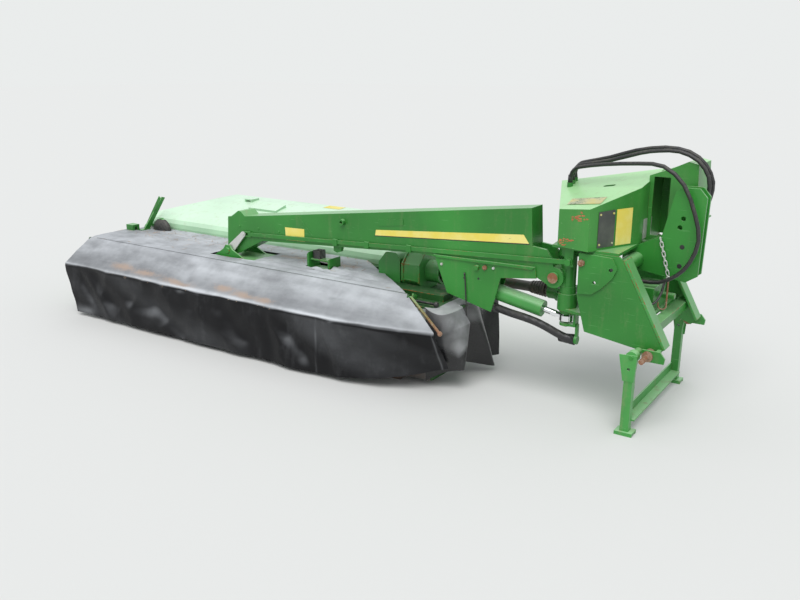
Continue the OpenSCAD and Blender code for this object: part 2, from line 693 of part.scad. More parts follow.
// Ear that holds one end of the front cover's tube.
module hinge_ear(x0, back_y) {
    rod_x(hinge_y, hinge_z, x0, x0 + 10, 34);
    plate_yz([[hinge_y, hinge_z - 17], [back_y, top_z - deck_t2], [back_y, top_z], [hinge_y, hinge_z + 17]], x0, x0 + 10);
}

// Lower deck at the inner end, round the end of the beam.
module inner_deck() {
    color("forestgreen") difference() {
        translate([tarp_x, -ridge_y + 12, shelf_z - deck_t2]) cube([-inner_x - 6 - tarp_x, ridge_y + 88, deck_t2]);
        translate([-outer_x, beam_y - beam_w / 2 - seat, 0]) cube([outer_x - inner_x - 150 + seat, beam_w + 2 * seat, top_z]);
    }
}

// Flat bar with a skid under each disc.
module cutterbar() {
    color("dimgray") {
        translate([-outer_x + 30 + seat, -disc_y - 90, 30]) cube([outer_x - inner_x - 180 - 2 * seat, 190, bar_t]);
        for (i = [0 : discs - 1]) translate([disc_x0 - i * disc_pitch - 75, -disc_y - 110, 0]) cube([150, 200, 30]);
    }
}

module outer_end_plate() {
    color("forestgreen") plate_yz([[-disc_y - 90, 30], [120, 30], [120, top_z - deck_t2], [-ridge_y + 18, top_z - deck_t2]],
        -outer_x + 20, -outer_x + 30);
}

module inner_end_plate() {
    color("forestgreen") plate_yz([[-disc_y - 90, 30], [120, 30], [120, shelf_z - deck_t2], [-ridge_y + 10, shelf_z - deck_t2]],
        -inner_x - 150, -inner_x - 140);
}

// Rounded case on the deck that turns the drive down to the first disc.
module bevel_case() {
    color("forestgreen") {
        plate_xz(rounded([[-1831, shelf_z], [-1831, 640], [-1775, 709], [-1700, 709], [-1675, 670], [-1675, shelf_z]], 24),
            drive_y - 100, drive_y + 110);
        for (y = [drive_y - 104, drive_y + 106]) plate_xz(rounded([[-1836, shelf_z], [-1836, 642], [-1777, 714],
            [-1697, 714], [-1670, 672], [-1670, shelf_z]], 24), y, y + 10);
    }
}

// Eight-sided case that the drive shaft enters, with a rib at each end.
module side_case() {
    color("forestgreen") difference() {
        union() {
            for (rib = [[-1632, 112, 270], [-1642, 14, 292], [-1520, 14, 292]]) translate([rib[0], drive_y, drive_z])
                rotate([0, 90, 0]) rotate([0, 0, 22.5]) cylinder(d = rib[2], h = rib[1], $fn = 8);
            translate([-1669 + seat, drive_y - 70, drive_z - 70]) cube([31, 140, 140]);
        }
        translate([-1700, drive_y - 200, 0]) cube([300, 400, shelf_z + seat]);
        translate([-1700, beam_y - 200, 0]) cube([300, 200 + beam_w / 2 + seat, beam_top + seat]);
    }
}

joint_x = -1445;
cross_d = 20;
module drive_mouth() {
    color("forestgreen") difference() {
        union() {
            rod_x(drive_y, drive_z, -1506 + seat, -1404, 140);
            rod_x(drive_y, drive_z, -1420, -1404, 152);
        }
        rod_x(drive_y, drive_z, -1490, -1400, 122);
    }
    color("dimgray") difference() {
        union() for (side = [-1, 1]) translate([-1491, drive_y - 5 + side * 41, drive_z - 18]) cube([66, 12, 36]);
        rod_y(joint_x, drive_z, drive_y - 50, drive_y + 50, cross_d + 2 * fit);
    }
}

module drive_shaft() {
    color("dimgray") {
        rod_x(drive_y, drive_z, joint_x - 24, -1400, 62);
        rod_x(drive_y, drive_z, -1401, -690.5, 60);
        rod_x(drive_y, drive_z, -1120, -1100, 68);
        for (i = [0 : 5]) translate([-812 + i * 17, drive_y, drive_z]) rotate([0, 90, 0])
            cylinder(d1 = 64 + i * 4, d2 = 76 + i * 4, h = 17);
        rod_y(joint_x, drive_z, drive_y - 46, drive_y + 46, cross_d);
    }
}

// Bracket on the lower deck with the black rod that latches the cover.
module corner_stay() {
    color("forestgreen") plate_yz([[-455, shelf_z + seat], [-455, 520], [-432, 520], [-420, 548], [-380, 530], [-380, shelf_z + seat]],
        -1420, -1410);
    color("black") {
        rod_x(-440, 512, -1445, -1240, 16);
        translate([-1240, -440, 512]) sphere(d = 34, $fn = 24);
    }
}

// Rubber block that the arm's underside rests over, in its bracket.
module arm_buffer() {
    color("forestgreen") {
        translate([-2328, arm_y - 60, tarp_top]) cube([190, 120, 10]);
        plate_xz([[-2328, tarp_top], [-2328, 652], [-2312, 668], [-2312, tarp_top]], arm_y - 60, arm_y + 60);
        plate_xz([[-2152, tarp_top], [-2152, 630], [-2138, 640], [-2138, tarp_top]], arm_y - 60, arm_y + 60);
        translate([-2328, arm_y - 40, 610]) cube([190, 80, 10]);
    }
    color("black") translate([-2298, arm_y - 32, 620]) cube([58, 64, 56]);
}

// The hood's section, seen from the inner end: (y, z), with a lip at its
// front and a skirt at the back.
hood_section = [[100, top_z + 30], [112, 600], [135, 628], [180, 655], [330, 702], [480, 742], [620, 764],
                [750, 768], [840, 745], [900, 690], [950, 590], [980, 480], [rear_y, 420]];
hood_end = concat(hood_section, [[700, 250], [180, 230], [100, 420]]);
hood_x = [-outer_x + 40, -1750];
hood_bend = -3990;
hood_slope = 15;
cond_shaft_d = 50;

// The hood's form, made smaller by inset; its outer end slopes down.
module hood_form(inset) {
    difference() {
        translate([hood_x[0] + inset, 0, 0]) rotate([90, 0, 90]) linear_extrude(hood_x[1] - hood_x[0] - 2 * inset)
            offset(delta = -inset) polygon(hood_end);
        translate([hood_bend, 0, 772 - inset]) rotate([0, -hood_slope, 0]) translate([-900, 0, 0]) cube([900, 1200, 400]);
    }
}

module conditioner_hood() {
    color("palegreen") difference() {
        union() {
            difference() {
                hood_form(0);
                hood_form(sheet_t);
                translate([hood_x[0] + sheet_t, 90, 0])
                    cube([hood_x[1] - hood_x[0] - 2 * sheet_t, rear_y - 80, 420]);
            }
            for (x = [-3728, -3662]) translate([x, 560, 740]) cube([12, 90, 40]);
            translate([-3728, 560, 770]) cube([78, 90, 10]);
            plate_yz([[420, 719], [540, 748], [540, 775], [420, 743]], -3552, -3256);
        }
        rod_x(cond_y, cond_z, hood_x[0] - 1, hood_x[1] + 1, cond_shaft_d + 2 * fit);
    }
}

module conditioner_rotor() {
    color("dimgray") {
        rod_x(cond_y, cond_z, hood_x[0] - 15, hood_x[1] + 15, cond_shaft_d);
        rod_x(cond_y, cond_z, hood_x[0] + 40, hood_x[1] - 40, 140);
        for (row = [0 : 3], i = [0 : 15])
            translate([hood_x[0] + 60 + i * 150 + (row % 2) * 75, cond_y, cond_z]) rotate([row * 90, 0, 0])
                translate([0, 7, 0]) plate_xz([[4, 60], [46, 60], [66, tine_r - 6], [48, tine_r - 2], [25, 100],
                    [2, tine_r - 2], [-16, tine_r - 6]], -14, 0);
    }
}

// A thin sheet under three or four corner points.
module sheet(points, t) {
    hull() for (p = points) translate(p) cube([0.1, t, t]);
}

module deck_tarp() {
    color("dimgray") difference() {
        translate([0, 0, top_z + seat]) linear_extrude(cloth_t) polygon([[-outer_x + 35, -ridge_y + 13],
            [-inner_x - 300, -ridge_y + 13], [tarp_x, -110], [tarp_x, 99], [-outer_x + 35, 99]]);
        translate([-3160, near_y - 65, top_z - 1]) cube([420, arm_w + 130, 40]);
    }
}

// Curtain that hangs in folds across the inner end.
module end_curtain() {
    fold = [for (i = [0 : 21]) [-inner_x - 3.5 + (i % 2) * 8, -560 + 31 * i]];
    color("black") intersection() {
        plate_yz([[-560, 60], [90, 40], [90, shelf_z], [-460, shelf_z]], -inner_x - 10, -inner_x + 20);
        linear_extrude(600) polygon(concat([for (p = fold) p + [2.5, 0]],
            [for (i = [len(fold) - 1 : -1 : 0]) fold[i] - [2.5, 0]]));
    }
}

// Slanting rail with a box at its foot, a bent tube and a long lever, at the
// outer end of the deck.
module outer_rail() {
    color("forestgreen") {
        plate_yz([[-60, tarp_top], [0, tarp_top], [190, 790], [160, 800]], -outer_x + 130, -outer_x + 140);
        translate([-outer_x + 102, -75, tarp_top]) cube([40, 90, 12]);
        difference() {
            translate([-outer_x + 45, -150, tarp_top]) cube([80, 66, 62]);
            translate([-outer_x + 44, -130, tarp_top + 16]) cube([82, 26, 30]);
        }
        translate([-outer_x + 90, 44, tarp_top]) rotate([90, 0, 90]) rotate_extrude(angle = 180, $fn = 32)
            translate([45, 0]) circle(d = 18, $fn = 12);
        plate_xz([[-outer_x + 8, tarp_top], [-outer_x + 40, tarp_top], [-outer_x + 232, 812], [-outer_x + 214, 824]], 62, 70);
    }
}

// Black dome with a green ring, beside the rail.
module outer_dome() {
    color("black") translate([-outer_x + 246, 46, tarp_top]) difference() {
        scale([1, 0.42, 1]) sphere(r = 100, $fn = 40);
        translate([-200, -200, -400]) cube([400, 400, 400]);
    }
    color("forestgreen") translate([-outer_x + 246, 46, tarp_top + 99]) rotate_extrude($fn = 24)
        translate([14, 0]) circle(d = 8, $fn = 12);
}

// Tube along the hinge of the front cover, with a pin at each end, and the
// rusty arm that holds the cover's inner corner.
module front_frame() {
    arm_run = [267, -114, -144];
    color("sienna") translate([frame_x1 + 22, hinge_y, hinge_z]) {
        rotate([0, acos(arm_run[2] / norm(arm_run)), atan2(arm_run[1], arm_run[0])])
            cylinder(d = 18, h = norm(arm_run));
        translate(arm_run) sphere(d = 30, $fn = 24);
    }
    color("forestgreen") {
        rod_x(hinge_y, hinge_z, -outer_x + 30 + seat, frame_x1, 24);
        rod_x(hinge_y, hinge_z, -outer_x + 20, frame_x1 + 24, hinge_d);
    }
}

// The fabric of the front cover: a sloping top, the front curtain, a flap
// over the outer end and the panel that turns back at the inner end.
module front_tarp() {
    a = [-outer_x, -front_y, front_z - cloth_t];
    b = [tarp_x, -front_y, front_z - cloth_t];
    c = [corner[0], corner[1], front_z - cloth_t];
    d = [frame_x1 - 5, hinge_y - 17 - seat - cloth_t, hinge_z - 3];
    e = [-outer_x, hinge_y - 17 - seat - cloth_t, hinge_z - 3];
    low = [tarp_x, -front_y, hem_z];
    tuck = [corner[0] + 4, corner[1] + 105, 150];
    color("dimgray") {
        for (panel = [[a, b, d, e], [b, c, d], [b, c, low], [c, tuck, low]]) sheet(panel, cloth_t);
        translate([-outer_x, -front_y, hem_z]) cube([outer_x + tarp_x, cloth_t, front_z - hem_z - 1]);
        plate_yz([[-front_y, front_z], [hinge_y - 18, hinge_z - 3], [hinge_y - 18, 60], [-front_y, hem_z]],
            -outer_x, -outer_x + cloth_t);
    }
}

// One cutting disc with its two knives; turned is 0 or 90.
module disc(i, turned) {
    color("dimgray") translate([disc_x0 - i * disc_pitch, -disc_y, 0]) rotate([0, 0, turned]) {
        translate([0, 0, 100]) intersection() {
            cylinder(r = 190, h = 14);
            translate([-190, -120, 0]) cube([380, 240, 14]);
        }
        translate([0, 0, 30 + bar_t + seat]) cylinder(r = 60, h = 70);
        for (side = [-1, 1]) scale([side, 1, 1]) {
            translate([140, -24, 90]) cube([knife_r - 142, 48, 4]);
            translate([160, 0, 90]) cylinder(d = 30, h = 30);
        }
    }
}

place() near_side_plate();
place() far_side_plate();
place() front_flanges();
place() deck_plate();
place() kingpin_seat();
place() cross_tube();
place() mast_plates();
place() headstock_cover();
place() lower_link_pins();
place() input_gearbox();
place() hose_mounts();
place() check_chain();
place() hose_a();
place() hose_b();
place() hose_c();
place() hose_loop();
place() parking_stand();
place() swivel();
place() hose_bundle();
place() arm_beam();
place() arm_pod();
place() pull_cord();
place() levelling_rod();
place() arm_lever();
place() cylinder_barrel();
place() cylinder_rod();
place() pivot_bracket();
place() main_beam();
place() deck();
place() inner_deck();
place() cutterbar();
place() outer_end_plate();
place() inner_end_plate();
place() bevel_case();
place() side_case();
place() drive_mouth();
place() drive_shaft();
place() corner_stay();
place() arm_buffer();
place() conditioner_hood();
place() conditioner_rotor();
place() deck_tarp();
place() end_curtain();
place() outer_rail();
place() outer_dome();
place() front_frame();
place() front_tarp();
place() disc(0, 0);  // disc_1
place() disc(1, 90);  // disc_2
place() disc(2, 0);  // disc_3
place() disc(3, 90);  // disc_4
place() disc(4, 0);  // disc_5
place() disc(5, 90);  // disc_6
place() disc(6, 0);  // disc_7
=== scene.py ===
import json
import math
import random

import bmesh
import bpy
from mathutils import Matrix, Vector, noise


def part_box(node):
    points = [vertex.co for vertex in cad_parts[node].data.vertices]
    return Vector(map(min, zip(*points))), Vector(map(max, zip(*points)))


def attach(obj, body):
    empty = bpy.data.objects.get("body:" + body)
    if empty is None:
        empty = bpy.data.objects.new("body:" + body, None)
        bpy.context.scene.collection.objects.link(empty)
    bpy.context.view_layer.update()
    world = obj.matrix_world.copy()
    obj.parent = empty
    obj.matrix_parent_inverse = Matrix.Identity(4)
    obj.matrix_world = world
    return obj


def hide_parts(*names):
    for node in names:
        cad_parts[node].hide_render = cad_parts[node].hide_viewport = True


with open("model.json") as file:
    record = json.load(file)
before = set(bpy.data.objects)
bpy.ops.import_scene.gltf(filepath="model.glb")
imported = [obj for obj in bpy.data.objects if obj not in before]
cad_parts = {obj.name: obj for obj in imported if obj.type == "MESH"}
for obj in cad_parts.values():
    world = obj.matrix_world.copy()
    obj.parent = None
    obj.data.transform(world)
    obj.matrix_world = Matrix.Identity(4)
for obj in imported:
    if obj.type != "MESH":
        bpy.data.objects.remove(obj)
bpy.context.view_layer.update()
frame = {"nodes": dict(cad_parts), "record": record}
nodes = frame["nodes"]
record = frame["record"]
slot_of = {part["node"]: part["material_slot"] for part in record["subparts"]}
body_of = {node: body for body, members in record["behaviour"]["bodies"].items() for node in members}
draw = random.Random(7)

# A mounted disc mower-conditioner, folded back in line with its headstock and
# parked on its stand. Every place below is measured from the middle of the
# hitch, on the ground under the two lower link pins: +X to the tractor, +Y away
# from the cut.
link_pins = [Vector(mount["pos_m"]) for mount in record["mounts"]
             if mount["name"].startswith("lower_link")]
hitch = (link_pins[0] + link_pins[1]) / 2
hitch.z = 0.0


def at(x, y, z):
    return hitch + Vector((x, y, z))


# The camera stands where the photograph was taken: at eye level, off the
# cutting side near the tractor's end, looking along the folded mower.
view = bpy.data.cameras.new("view")
view.lens = 36.8
view.sensor_width = 36.0
view_object = bpy.data.objects.new("view", view)
view_object.location = (3.282, -4.502, 1.87)
view_object.rotation_euler = (math.radians(73.84), 0.0, math.radians(33.8))
bpy.context.scene.collection.objects.link(view_object)
bpy.context.scene.camera = view_object


# Studio: a pale floor under an overcast sky, with a wide soft sun overhead
# and a plain pale surround that the camera and the reflections see.
class Wire:
    """A shader socket that can be added, subtracted and multiplied, and that starts other nodes."""

    def __init__(self, tree, socket=None):
        self.tree = tree
        self.socket = socket

    def make(self, kind, settings=(), inputs=(), output=0):
        node = self.tree.nodes.new("ShaderNode" + kind)
        for name, value in dict(settings).items():
            setattr(node, name, value)
        for name, value in dict(inputs).items():
            if isinstance(value, Wire):
                self.tree.links.new(value.socket, node.inputs[name])
            else:
                node.inputs[name].default_value = value
        return Wire(self.tree, node.outputs[output])

    def into(self, shader, name):
        self.tree.links.new(self.socket, shader.inputs[name])

    def __add__(self, other):
        return self.make("Math", {"operation": "ADD"}, {0: self, 1: other})

    def __mul__(self, other):
        return self.make("Math", {"operation": "MULTIPLY"}, {0: self, 1: other})

    def __sub__(self, other):
        return self.make("Math", {"operation": "SUBTRACT"}, {0: self, 1: other})

    def __rsub__(self, other):
        return self.make("Math", {"operation": "SUBTRACT"}, {0: other, 1: self})

    __radd__ = __add__
    __rmul__ = __mul__


def mixed(mask, first, second):
    return mask.make("Mix", {"data_type": "RGBA"}, {0: mask, 6: first, 7: second}, 2)


bpy.context.scene.view_settings.view_transform = "Standard"
floor_shape = bmesh.new()
bmesh.ops.create_grid(floor_shape, x_segments=1, y_segments=1, size=60.0)
floor = bpy.data.objects.new("floor", bpy.data.meshes.new("floor"))
floor_shape.to_mesh(floor.data)
floor_shape.free()
bpy.context.scene.collection.objects.link(floor)
floor_finish = bpy.data.materials.new("floor")
floor_finish.use_nodes = True
floor_shader = floor_finish.node_tree.nodes["Principled BSDF"]
floor_shader.inputs["Base Color"].default_value = (0.70, 0.70, 0.68, 1.0)
floor_shader.inputs["Roughness"].default_value = 1.0
floor_shader.inputs["Specular IOR Level"].default_value = 0.0
floor.data.materials.append(floor_finish)

sun = bpy.data.lights.new("cloud", "SUN")
sun.energy = 1.9
sun.angle = 0.8
sun_object = bpy.data.objects.new("cloud", sun)
sun_object.rotation_euler = Vector((-0.16, 0.55, -0.88)).to_track_quat("-Z", "Y").to_euler()
bpy.context.scene.collection.objects.link(sun_object)

sky = bpy.data.worlds.new("sky")
sky.use_nodes = True
bpy.context.scene.world = sky
background = sky.node_tree.nodes["Background"]
rays = Wire(sky.node_tree)
seen = rays.make("LightPath", output="Is Camera Ray")
mirrored = rays.make("LightPath", output="Is Glossy Ray")
mixed(seen, (0.93, 0.96, 1.0, 1.0), (0.84, 0.86, 0.855, 1.0)).into(background, "Color")
(0.72 + seen * 0.26 + mirrored * 0.12).into(background, "Strength")


# Hydraulic hoses of black wire-braided rubber: three over the cover, a thinner
# loop under the mast and a spiral-wrapped bundle under the arm, with crimped
# ends that screw into ports. A pull cord hangs from the arm by one end.
def new_finish(name, **settings):
    finish = bpy.data.materials.new(name)
    finish.use_nodes = True
    shader = finish.node_tree.nodes["Principled BSDF"]
    for socket, value in settings.items():
        shader.inputs[socket.replace("_", " ").title().replace("Ior", "IOR")].default_value = value
    return finish, shader, Wire(finish.node_tree).make("TexCoord", output="Object")


def upward(place):
    """How far the surface faces up: 1 on top, 0 on a side and -1 below."""
    return place.make("SeparateXYZ", (), {0: place.make("TexCoord", output="Normal")}, "Z")


def grain(place, scale, detail=4.0, roughness=0.5, stretch=(1.0, 1.0, 1.0)):
    stretched = place.make("Mapping", (), {"Vector": place, "Scale": stretch})
    return place.make("TexNoise", (), {"Vector": stretched, "Scale": scale, "Detail": detail,
                                       "Roughness": roughness}, 0)


def between(value, low, high):
    return value.make("MapRange", {"interpolation_type": "SMOOTHSTEP"},
                      {"Value": value, "From Min": low, "From Max": high})


def bumped(height, shader, strength, distance):
    bump = height.make("Bump", (), {"Strength": strength, "Distance": distance, "Height": height}, 0)
    bump.into(shader, "Normal")


def hose_rubber(name, dusty, ring):
    """Black rubber with settled dust; ring is the spacing of its wrap in metres."""
    finish, shader, place = new_finish(name, specular_ior_level=0.6)
    fine = grain(place, 90.0, 5.0, 0.65)
    broad = grain(place, 9.0, 5.0, 0.6)
    dust = between(fine * 0.5 + broad * 0.5, 0.42, 0.66) * between(upward(place), -0.3, 0.9)
    mixed(dust * dusty, (0.014, 0.014, 0.015, 1.0), (0.34, 0.32, 0.24, 1.0)).into(shader, "Base Color")
    (0.34 + dust * 0.4 + fine * 0.1).into(shader, "Roughness")
    wrap = place.make("TexWave", {"bands_direction": "DIAGONAL"},
                      {"Vector": place, "Scale": 0.3142 / ring}, "Fac")
    bumped(fine * 0.3 + wrap * (ring * 30.0), shader, 0.5, 0.003)
    return finish


rubber_hose = hose_rubber("hose_rubber", 0.30, 0.003)
wrapped_hose = hose_rubber("hose_wrap", 0.10, 0.018)


def show(shape, name, finish, body):
    data = bpy.data.meshes.new(name)
    shape.to_mesh(data)
    shape.free()
    piece = bpy.data.objects.new(name, data)
    bpy.context.scene.collection.objects.link(piece)
    data.materials.append(finish)
    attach(piece, body)
    return piece


def smooth_line(points, share):
    """The place at a share from 0 to 1 along a smooth line through points."""
    span = share * (len(points) - 1)
    index = min(int(span), len(points) - 2)
    t = span - index
    last = len(points) - 1
    before, start, end, after = (points[min(max(index + step, 0), last)] for step in (-1, 0, 1, 2))
    return 0.5 * (2.0 * start + (end - before) * t
                  + (2.0 * before - 5.0 * start + 4.0 * end - after) * t ** 2
                  + (3.0 * start - before - 3.0 * end + after) * t ** 3)


def cone(shape, start, end, wide, narrow, sides=20):
    """A round bar or sleeve from start to end, wide across at its start and narrow at its end."""
    turn = (end - start).to_track_quat("Z", "Y").to_matrix().to_4x4()
    bmesh.ops.create_cone(shape, cap_ends=True, segments=sides, radius1=wide / 2,
                          radius2=narrow / 2, depth=(end - start).length,
                          matrix=Matrix.Translation((start + end) / 2) @ turn)


def hose(node, route, steps, diameter, finish, far_end="object"):
    """One hose through the places of its route, with a tapered sleeve at each end that is held."""
    places = [at(*place) for place in route]
    count = (len(places) - 1) * steps
    line = [smooth_line(places, i / count) for i in range(count + 1)]
    data = bpy.data.curves.new(node + ".hose", "CURVE")
    data.dimensions = "3D"
    data.bevel_depth = diameter / 2
    data.bevel_resolution = 5
    data.use_fill_caps = True
    spline = data.splines.new("POLY")
    spline.points.add(len(line) - 1)
    for point, place in zip(spline.points, line):
        point.co = (*place, 1.0)
    spline.use_smooth = True
    piece = bpy.data.objects.new(node + ".hose", data)
    bpy.context.scene.collection.objects.link(piece)
    data.materials.append(finish)
    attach(piece, body_of[node])
    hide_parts(node)
    held = [(line[0], line[1])]
    if far_end == "object":
        held.append((line[-1], line[-2]))
    sleeves = bmesh.new()
    for end, inward in held:
        cone(sleeves, end, end + 2.0 * diameter * (inward - end).normalized(),
             1.35 * diameter, 1.04 * diameter)
    for face in sleeves.faces:
        face.smooth = True
    relief = show(sleeves, node + ".sleeves", finish, body_of[node])
    length = sum((after - before).length for before, after in zip(line, line[1:]))


# The first three rise straight from their glands and turn there on a radius of
# about 80 mm, a little above the tubes of the CAD model.
hose("hose_a", [(-0.700, 0.235, 1.222), (-0.700, 0.235, 1.250), (-0.689, 0.231, 1.284),
                (-0.660, 0.219, 1.309), (-0.618, 0.202, 1.322), (-0.460, 0.144, 1.362),
                (-0.310, 0.115, 1.410), (-0.150, 0.105, 1.436), (-0.020, 0.105, 1.420),
                (0.070, 0.105, 1.358), (0.115, 0.105, 1.270), (0.110, 0.105, 1.190),
                (0.097, 0.105, 1.145), (0.092, 0.105, 1.115)], 2, 0.022, rubber_hose)
hose("hose_b", [(-0.690, 0.175, 1.214), (-0.690, 0.175, 1.242), (-0.679, 0.171, 1.276),
                (-0.650, 0.160, 1.301), (-0.608, 0.144, 1.314), (-0.440, 0.096, 1.350),
                (-0.270, 0.070, 1.402), (-0.170, 0.066, 1.420), (-0.060, 0.065, 1.422),
                (0.040, 0.065, 1.380), (0.100, 0.065, 1.300), (0.108, 0.065, 1.210),
                (0.097, 0.065, 1.147), (0.092, 0.065, 1.115)], 2, 0.022, rubber_hose)
hose("hose_c", [(-0.680, 0.115, 1.206), (-0.680, 0.115, 1.234), (-0.669, 0.110, 1.268),
                (-0.640, 0.098, 1.293), (-0.598, 0.080, 1.306), (-0.450, 0.020, 1.334),
                (-0.240, -0.040, 1.358), (-0.100, -0.062, 1.354), (0.015, -0.075, 1.268),
                (0.086, -0.080, 1.120), (0.117, -0.082, 0.990), (0.084, -0.086, 0.870),
                (0.024, -0.092, 0.793), (-0.062, -0.095, 0.745), (-0.150, -0.095, 0.738),
                (-0.230, -0.085, 0.736), (-0.250, -0.085, 0.736)], 2, 0.022, rubber_hose)
hose("hose_loop", [(-0.212, -0.150, 0.788), (-0.212, -0.150, 0.745), (-0.198, -0.150, 0.692),
                   (-0.162, -0.150, 0.646), (-0.114, -0.142, 0.622), (-0.070, -0.118, 0.634),
                   (-0.052, -0.080, 0.674), (-0.050, -0.046, 0.716), (-0.050, -0.035, 0.738),
                   (-0.050, -0.035, 0.750)], 3, 0.013, rubber_hose)
hose("hose_bundle", [(-1.000, -0.280, 0.524), (-0.940, -0.284, 0.511), (-0.830, -0.298, 0.496),
                     (-0.742, -0.302, 0.486), (-0.667, -0.298, 0.470), (-0.610, -0.286, 0.447),
                     (-0.560, -0.272, 0.421), (-0.515, -0.260, 0.401), (-0.480, -0.252, 0.394),
                     (-0.462, -0.250, 0.392), (-0.452, -0.250, 0.392)], 2, 0.046, wrapped_hose)
hose("pull_cord", [(-1.115, -0.334, 0.700), (-1.107, -0.337, 0.640), (-1.098, -0.340, 0.540),
                   (-1.091, -0.340, 0.420), (-1.088, -0.339, 0.290)], 5, 0.008, rubber_hose,
     far_end="knot")


# Enamel on cut and welded steel: sprayed green and chipped to rust along its
# edges, with dust and clippings dried on, and a painted sky sheen on its tops.
finishes = {}
rust = (0.26, 0.085, 0.025)
dried_mud = (0.34, 0.27, 0.18)


def part_of(vector, letter):
    return vector.make("SeparateXYZ", (), {0: vector}, letter)


def shaded(color, share):
    return tuple(share * value for value in color) + (1.0,)


def painted(name, color, sheen_and_scratch_color, top_sheen=0.75, wear=0.5, dust=0.4, roughness=0.40, coat=0.18):
    finish, shader, place = new_finish(name, coat_roughness=0.16, specular_ior_level=0.35)
    up = between(upward(place), 0.25, 0.95)
    broad = grain(place, 1.9, 4.0)
    fine = grain(place, 62.0, 6.0, 0.7)
    runs = grain(place, 7.0, 5.0, 0.6, (3.0, 3.0, 0.45))
    tone = mixed(between(broad, 0.32, 0.68), shaded(color, 0.80), shaded(color, 1.14))
    # Tops that face up turn towards the second, paler colour: a painted sky sheen.
    tone = mixed(up * (top_sheen * (0.65 + 0.5 * broad)), tone, shaded(sheen_and_scratch_color, 1.0))
    low = between(part_of(place, "Z"), 0.40, 0.02)
    film = between(runs * 0.7 + fine * 0.3, 0.50, 0.72) * (dust * (0.35 + 0.65 * up) + low * 0.35)
    tone = mixed(film, tone, shaded(dried_mud, 1.0))
    edge = place.make("Attribute", {"attribute_name": "edge"}, (), "Fac")
    patches = grain(place, 5.0, 6.0, 0.65)
    chips = between(fine * 0.55 + patches * 0.45 + edge * 0.13, 0.685 - 0.05 * wear, 0.71 - 0.05 * wear)
    tone = mixed(chips, tone, shaded(rust, 1.0))
    scratches = grain(place, 34.0, 2.0, 0.4, (0.25, 6.0, 6.0))
    tone = mixed(between(scratches, 0.70, 0.76) * 0.3 * (wear + 0.2), tone, shaded(sheen_and_scratch_color, 1.2))
    tone.into(shader, "Base Color")
    (roughness + 0.22 * film + 0.35 * chips + 0.10 * (fine - 0.5)).into(shader, "Roughness")
    ((1.0 - chips) * (1.0 - film) * coat).into(shader, "Coat Weight")
    bumped(fine * 0.4 + broad * 2.0 - chips * 0.7, shader, 0.25, 0.0012)
    return finish


green = (0.030, 0.225, 0.030)
# The second colour of each enamel is the painted sheen of its tops, also used lighter for its scratches.
finishes["green_paint"] = painted("green_enamel", green, (0.30, 0.60, 0.27))
finishes["green_plastic"] = painted("cover_enamel", (0.046, 0.250, 0.040), (0.52, 0.88, 0.44),
                                    top_sheen=0.85, wear=0.45, dust=0.3)
finishes["case_enamel"] = painted("case_enamel", (0.060, 0.300, 0.062), (0.36, 0.66, 0.34),
                                  top_sheen=0.9, wear=0.8, dust=0.5)
# A darker, dirtier green for the pieces low at the deck and the inner end: dirt, and painted shade where
# they lie in shadow.
finishes["dirt_and_painted_shade_enamel"] = painted("dirt_and_painted_shade_enamel", (0.014, 0.080, 0.014), (0.06, 0.14, 0.06),
                                    top_sheen=0.4, wear=1.0, dust=0.5, roughness=0.6, coat=0.0)
finishes["pale_green"] = painted("hood_plastic", (0.33, 0.55, 0.34), (0.70, 0.92, 0.70),
                                 top_sheen=0.9, wear=0.1, dust=0.35, roughness=0.40, coat=0.3)


# Rounded copies of the rigid painted pieces: sheared, cut and rolled plate has
# no knife edges, and its rounded edges catch the light and lose their paint.
def rounded(node, width, parts):
    """A copy of a node with rounded edges; parts pairs tests of a face's middle with finishes."""
    shape = bmesh.new()
    shape.from_mesh(nodes[node].data)
    bmesh.ops.remove_doubles(shape, verts=shape.verts, dist=1e-5)
    bmesh.ops.dissolve_limit(shape, angle_limit=math.radians(1.0), verts=shape.verts, edges=shape.edges)
    worn = shape.faces.layers.float.new("edge")
    for face in shape.faces:
        middle = face.calc_center_median() - hitch
        face.material_index = next(i for i, (test, _) in enumerate(parts) if test(middle))
    sharp = [edge for edge in shape.edges
             if edge.is_manifold and edge.calc_face_angle(0.0) > math.radians(34.0)]
    made = bmesh.ops.bevel(shape, geom=sharp, offset=width, offset_type="OFFSET", segments=2, profile=0.5,
                           affect="EDGES", clamp_overlap=True, material=-1)
    for face in made["faces"]:
        face[worn] = 1.0
    for face in shape.faces:
        face.smooth = True
    piece = show(shape, node + ".eased", parts[0][1], body_of[node])
    for _, finish in parts[1:]:
        piece.data.materials.append(finish)
    piece.data.set_sharp_from_angle(angle=math.radians(50.0))
    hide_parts(node)
    return piece


def anywhere(middle):
    return True


def eased(node, width, finish):
    """A rounded copy in one finish, shaded flat between its rounded edges."""
    weighted = rounded(node, width, [(anywhere, finish)]).modifiers.new("weighted", "WEIGHTED_NORMAL")
    weighted.keep_sharp = True


# Pieces down at the deck and the inner end get the darker green: painted shade, with dirt.
dirt_and_painted_shade = ("main_beam", "inner_deck", "inner_end_plate", "deck")
cases = ("bevel_case", "side_case", "drive_mouth", "cylinder_barrel", "far_side_plate", "parking_stand",
         "front_flanges")
for node, slot in slot_of.items():
    if slot == "green_paint" and node not in ("corner_stay", "arm_buffer"):
        enamel = "case_enamel" if node in cases else "dirt_and_painted_shade_enamel" if node in dirt_and_painted_shade else slot
        eased(node, 0.003, finishes[enamel])
eased("headstock_cover", 0.006, finishes["green_plastic"])


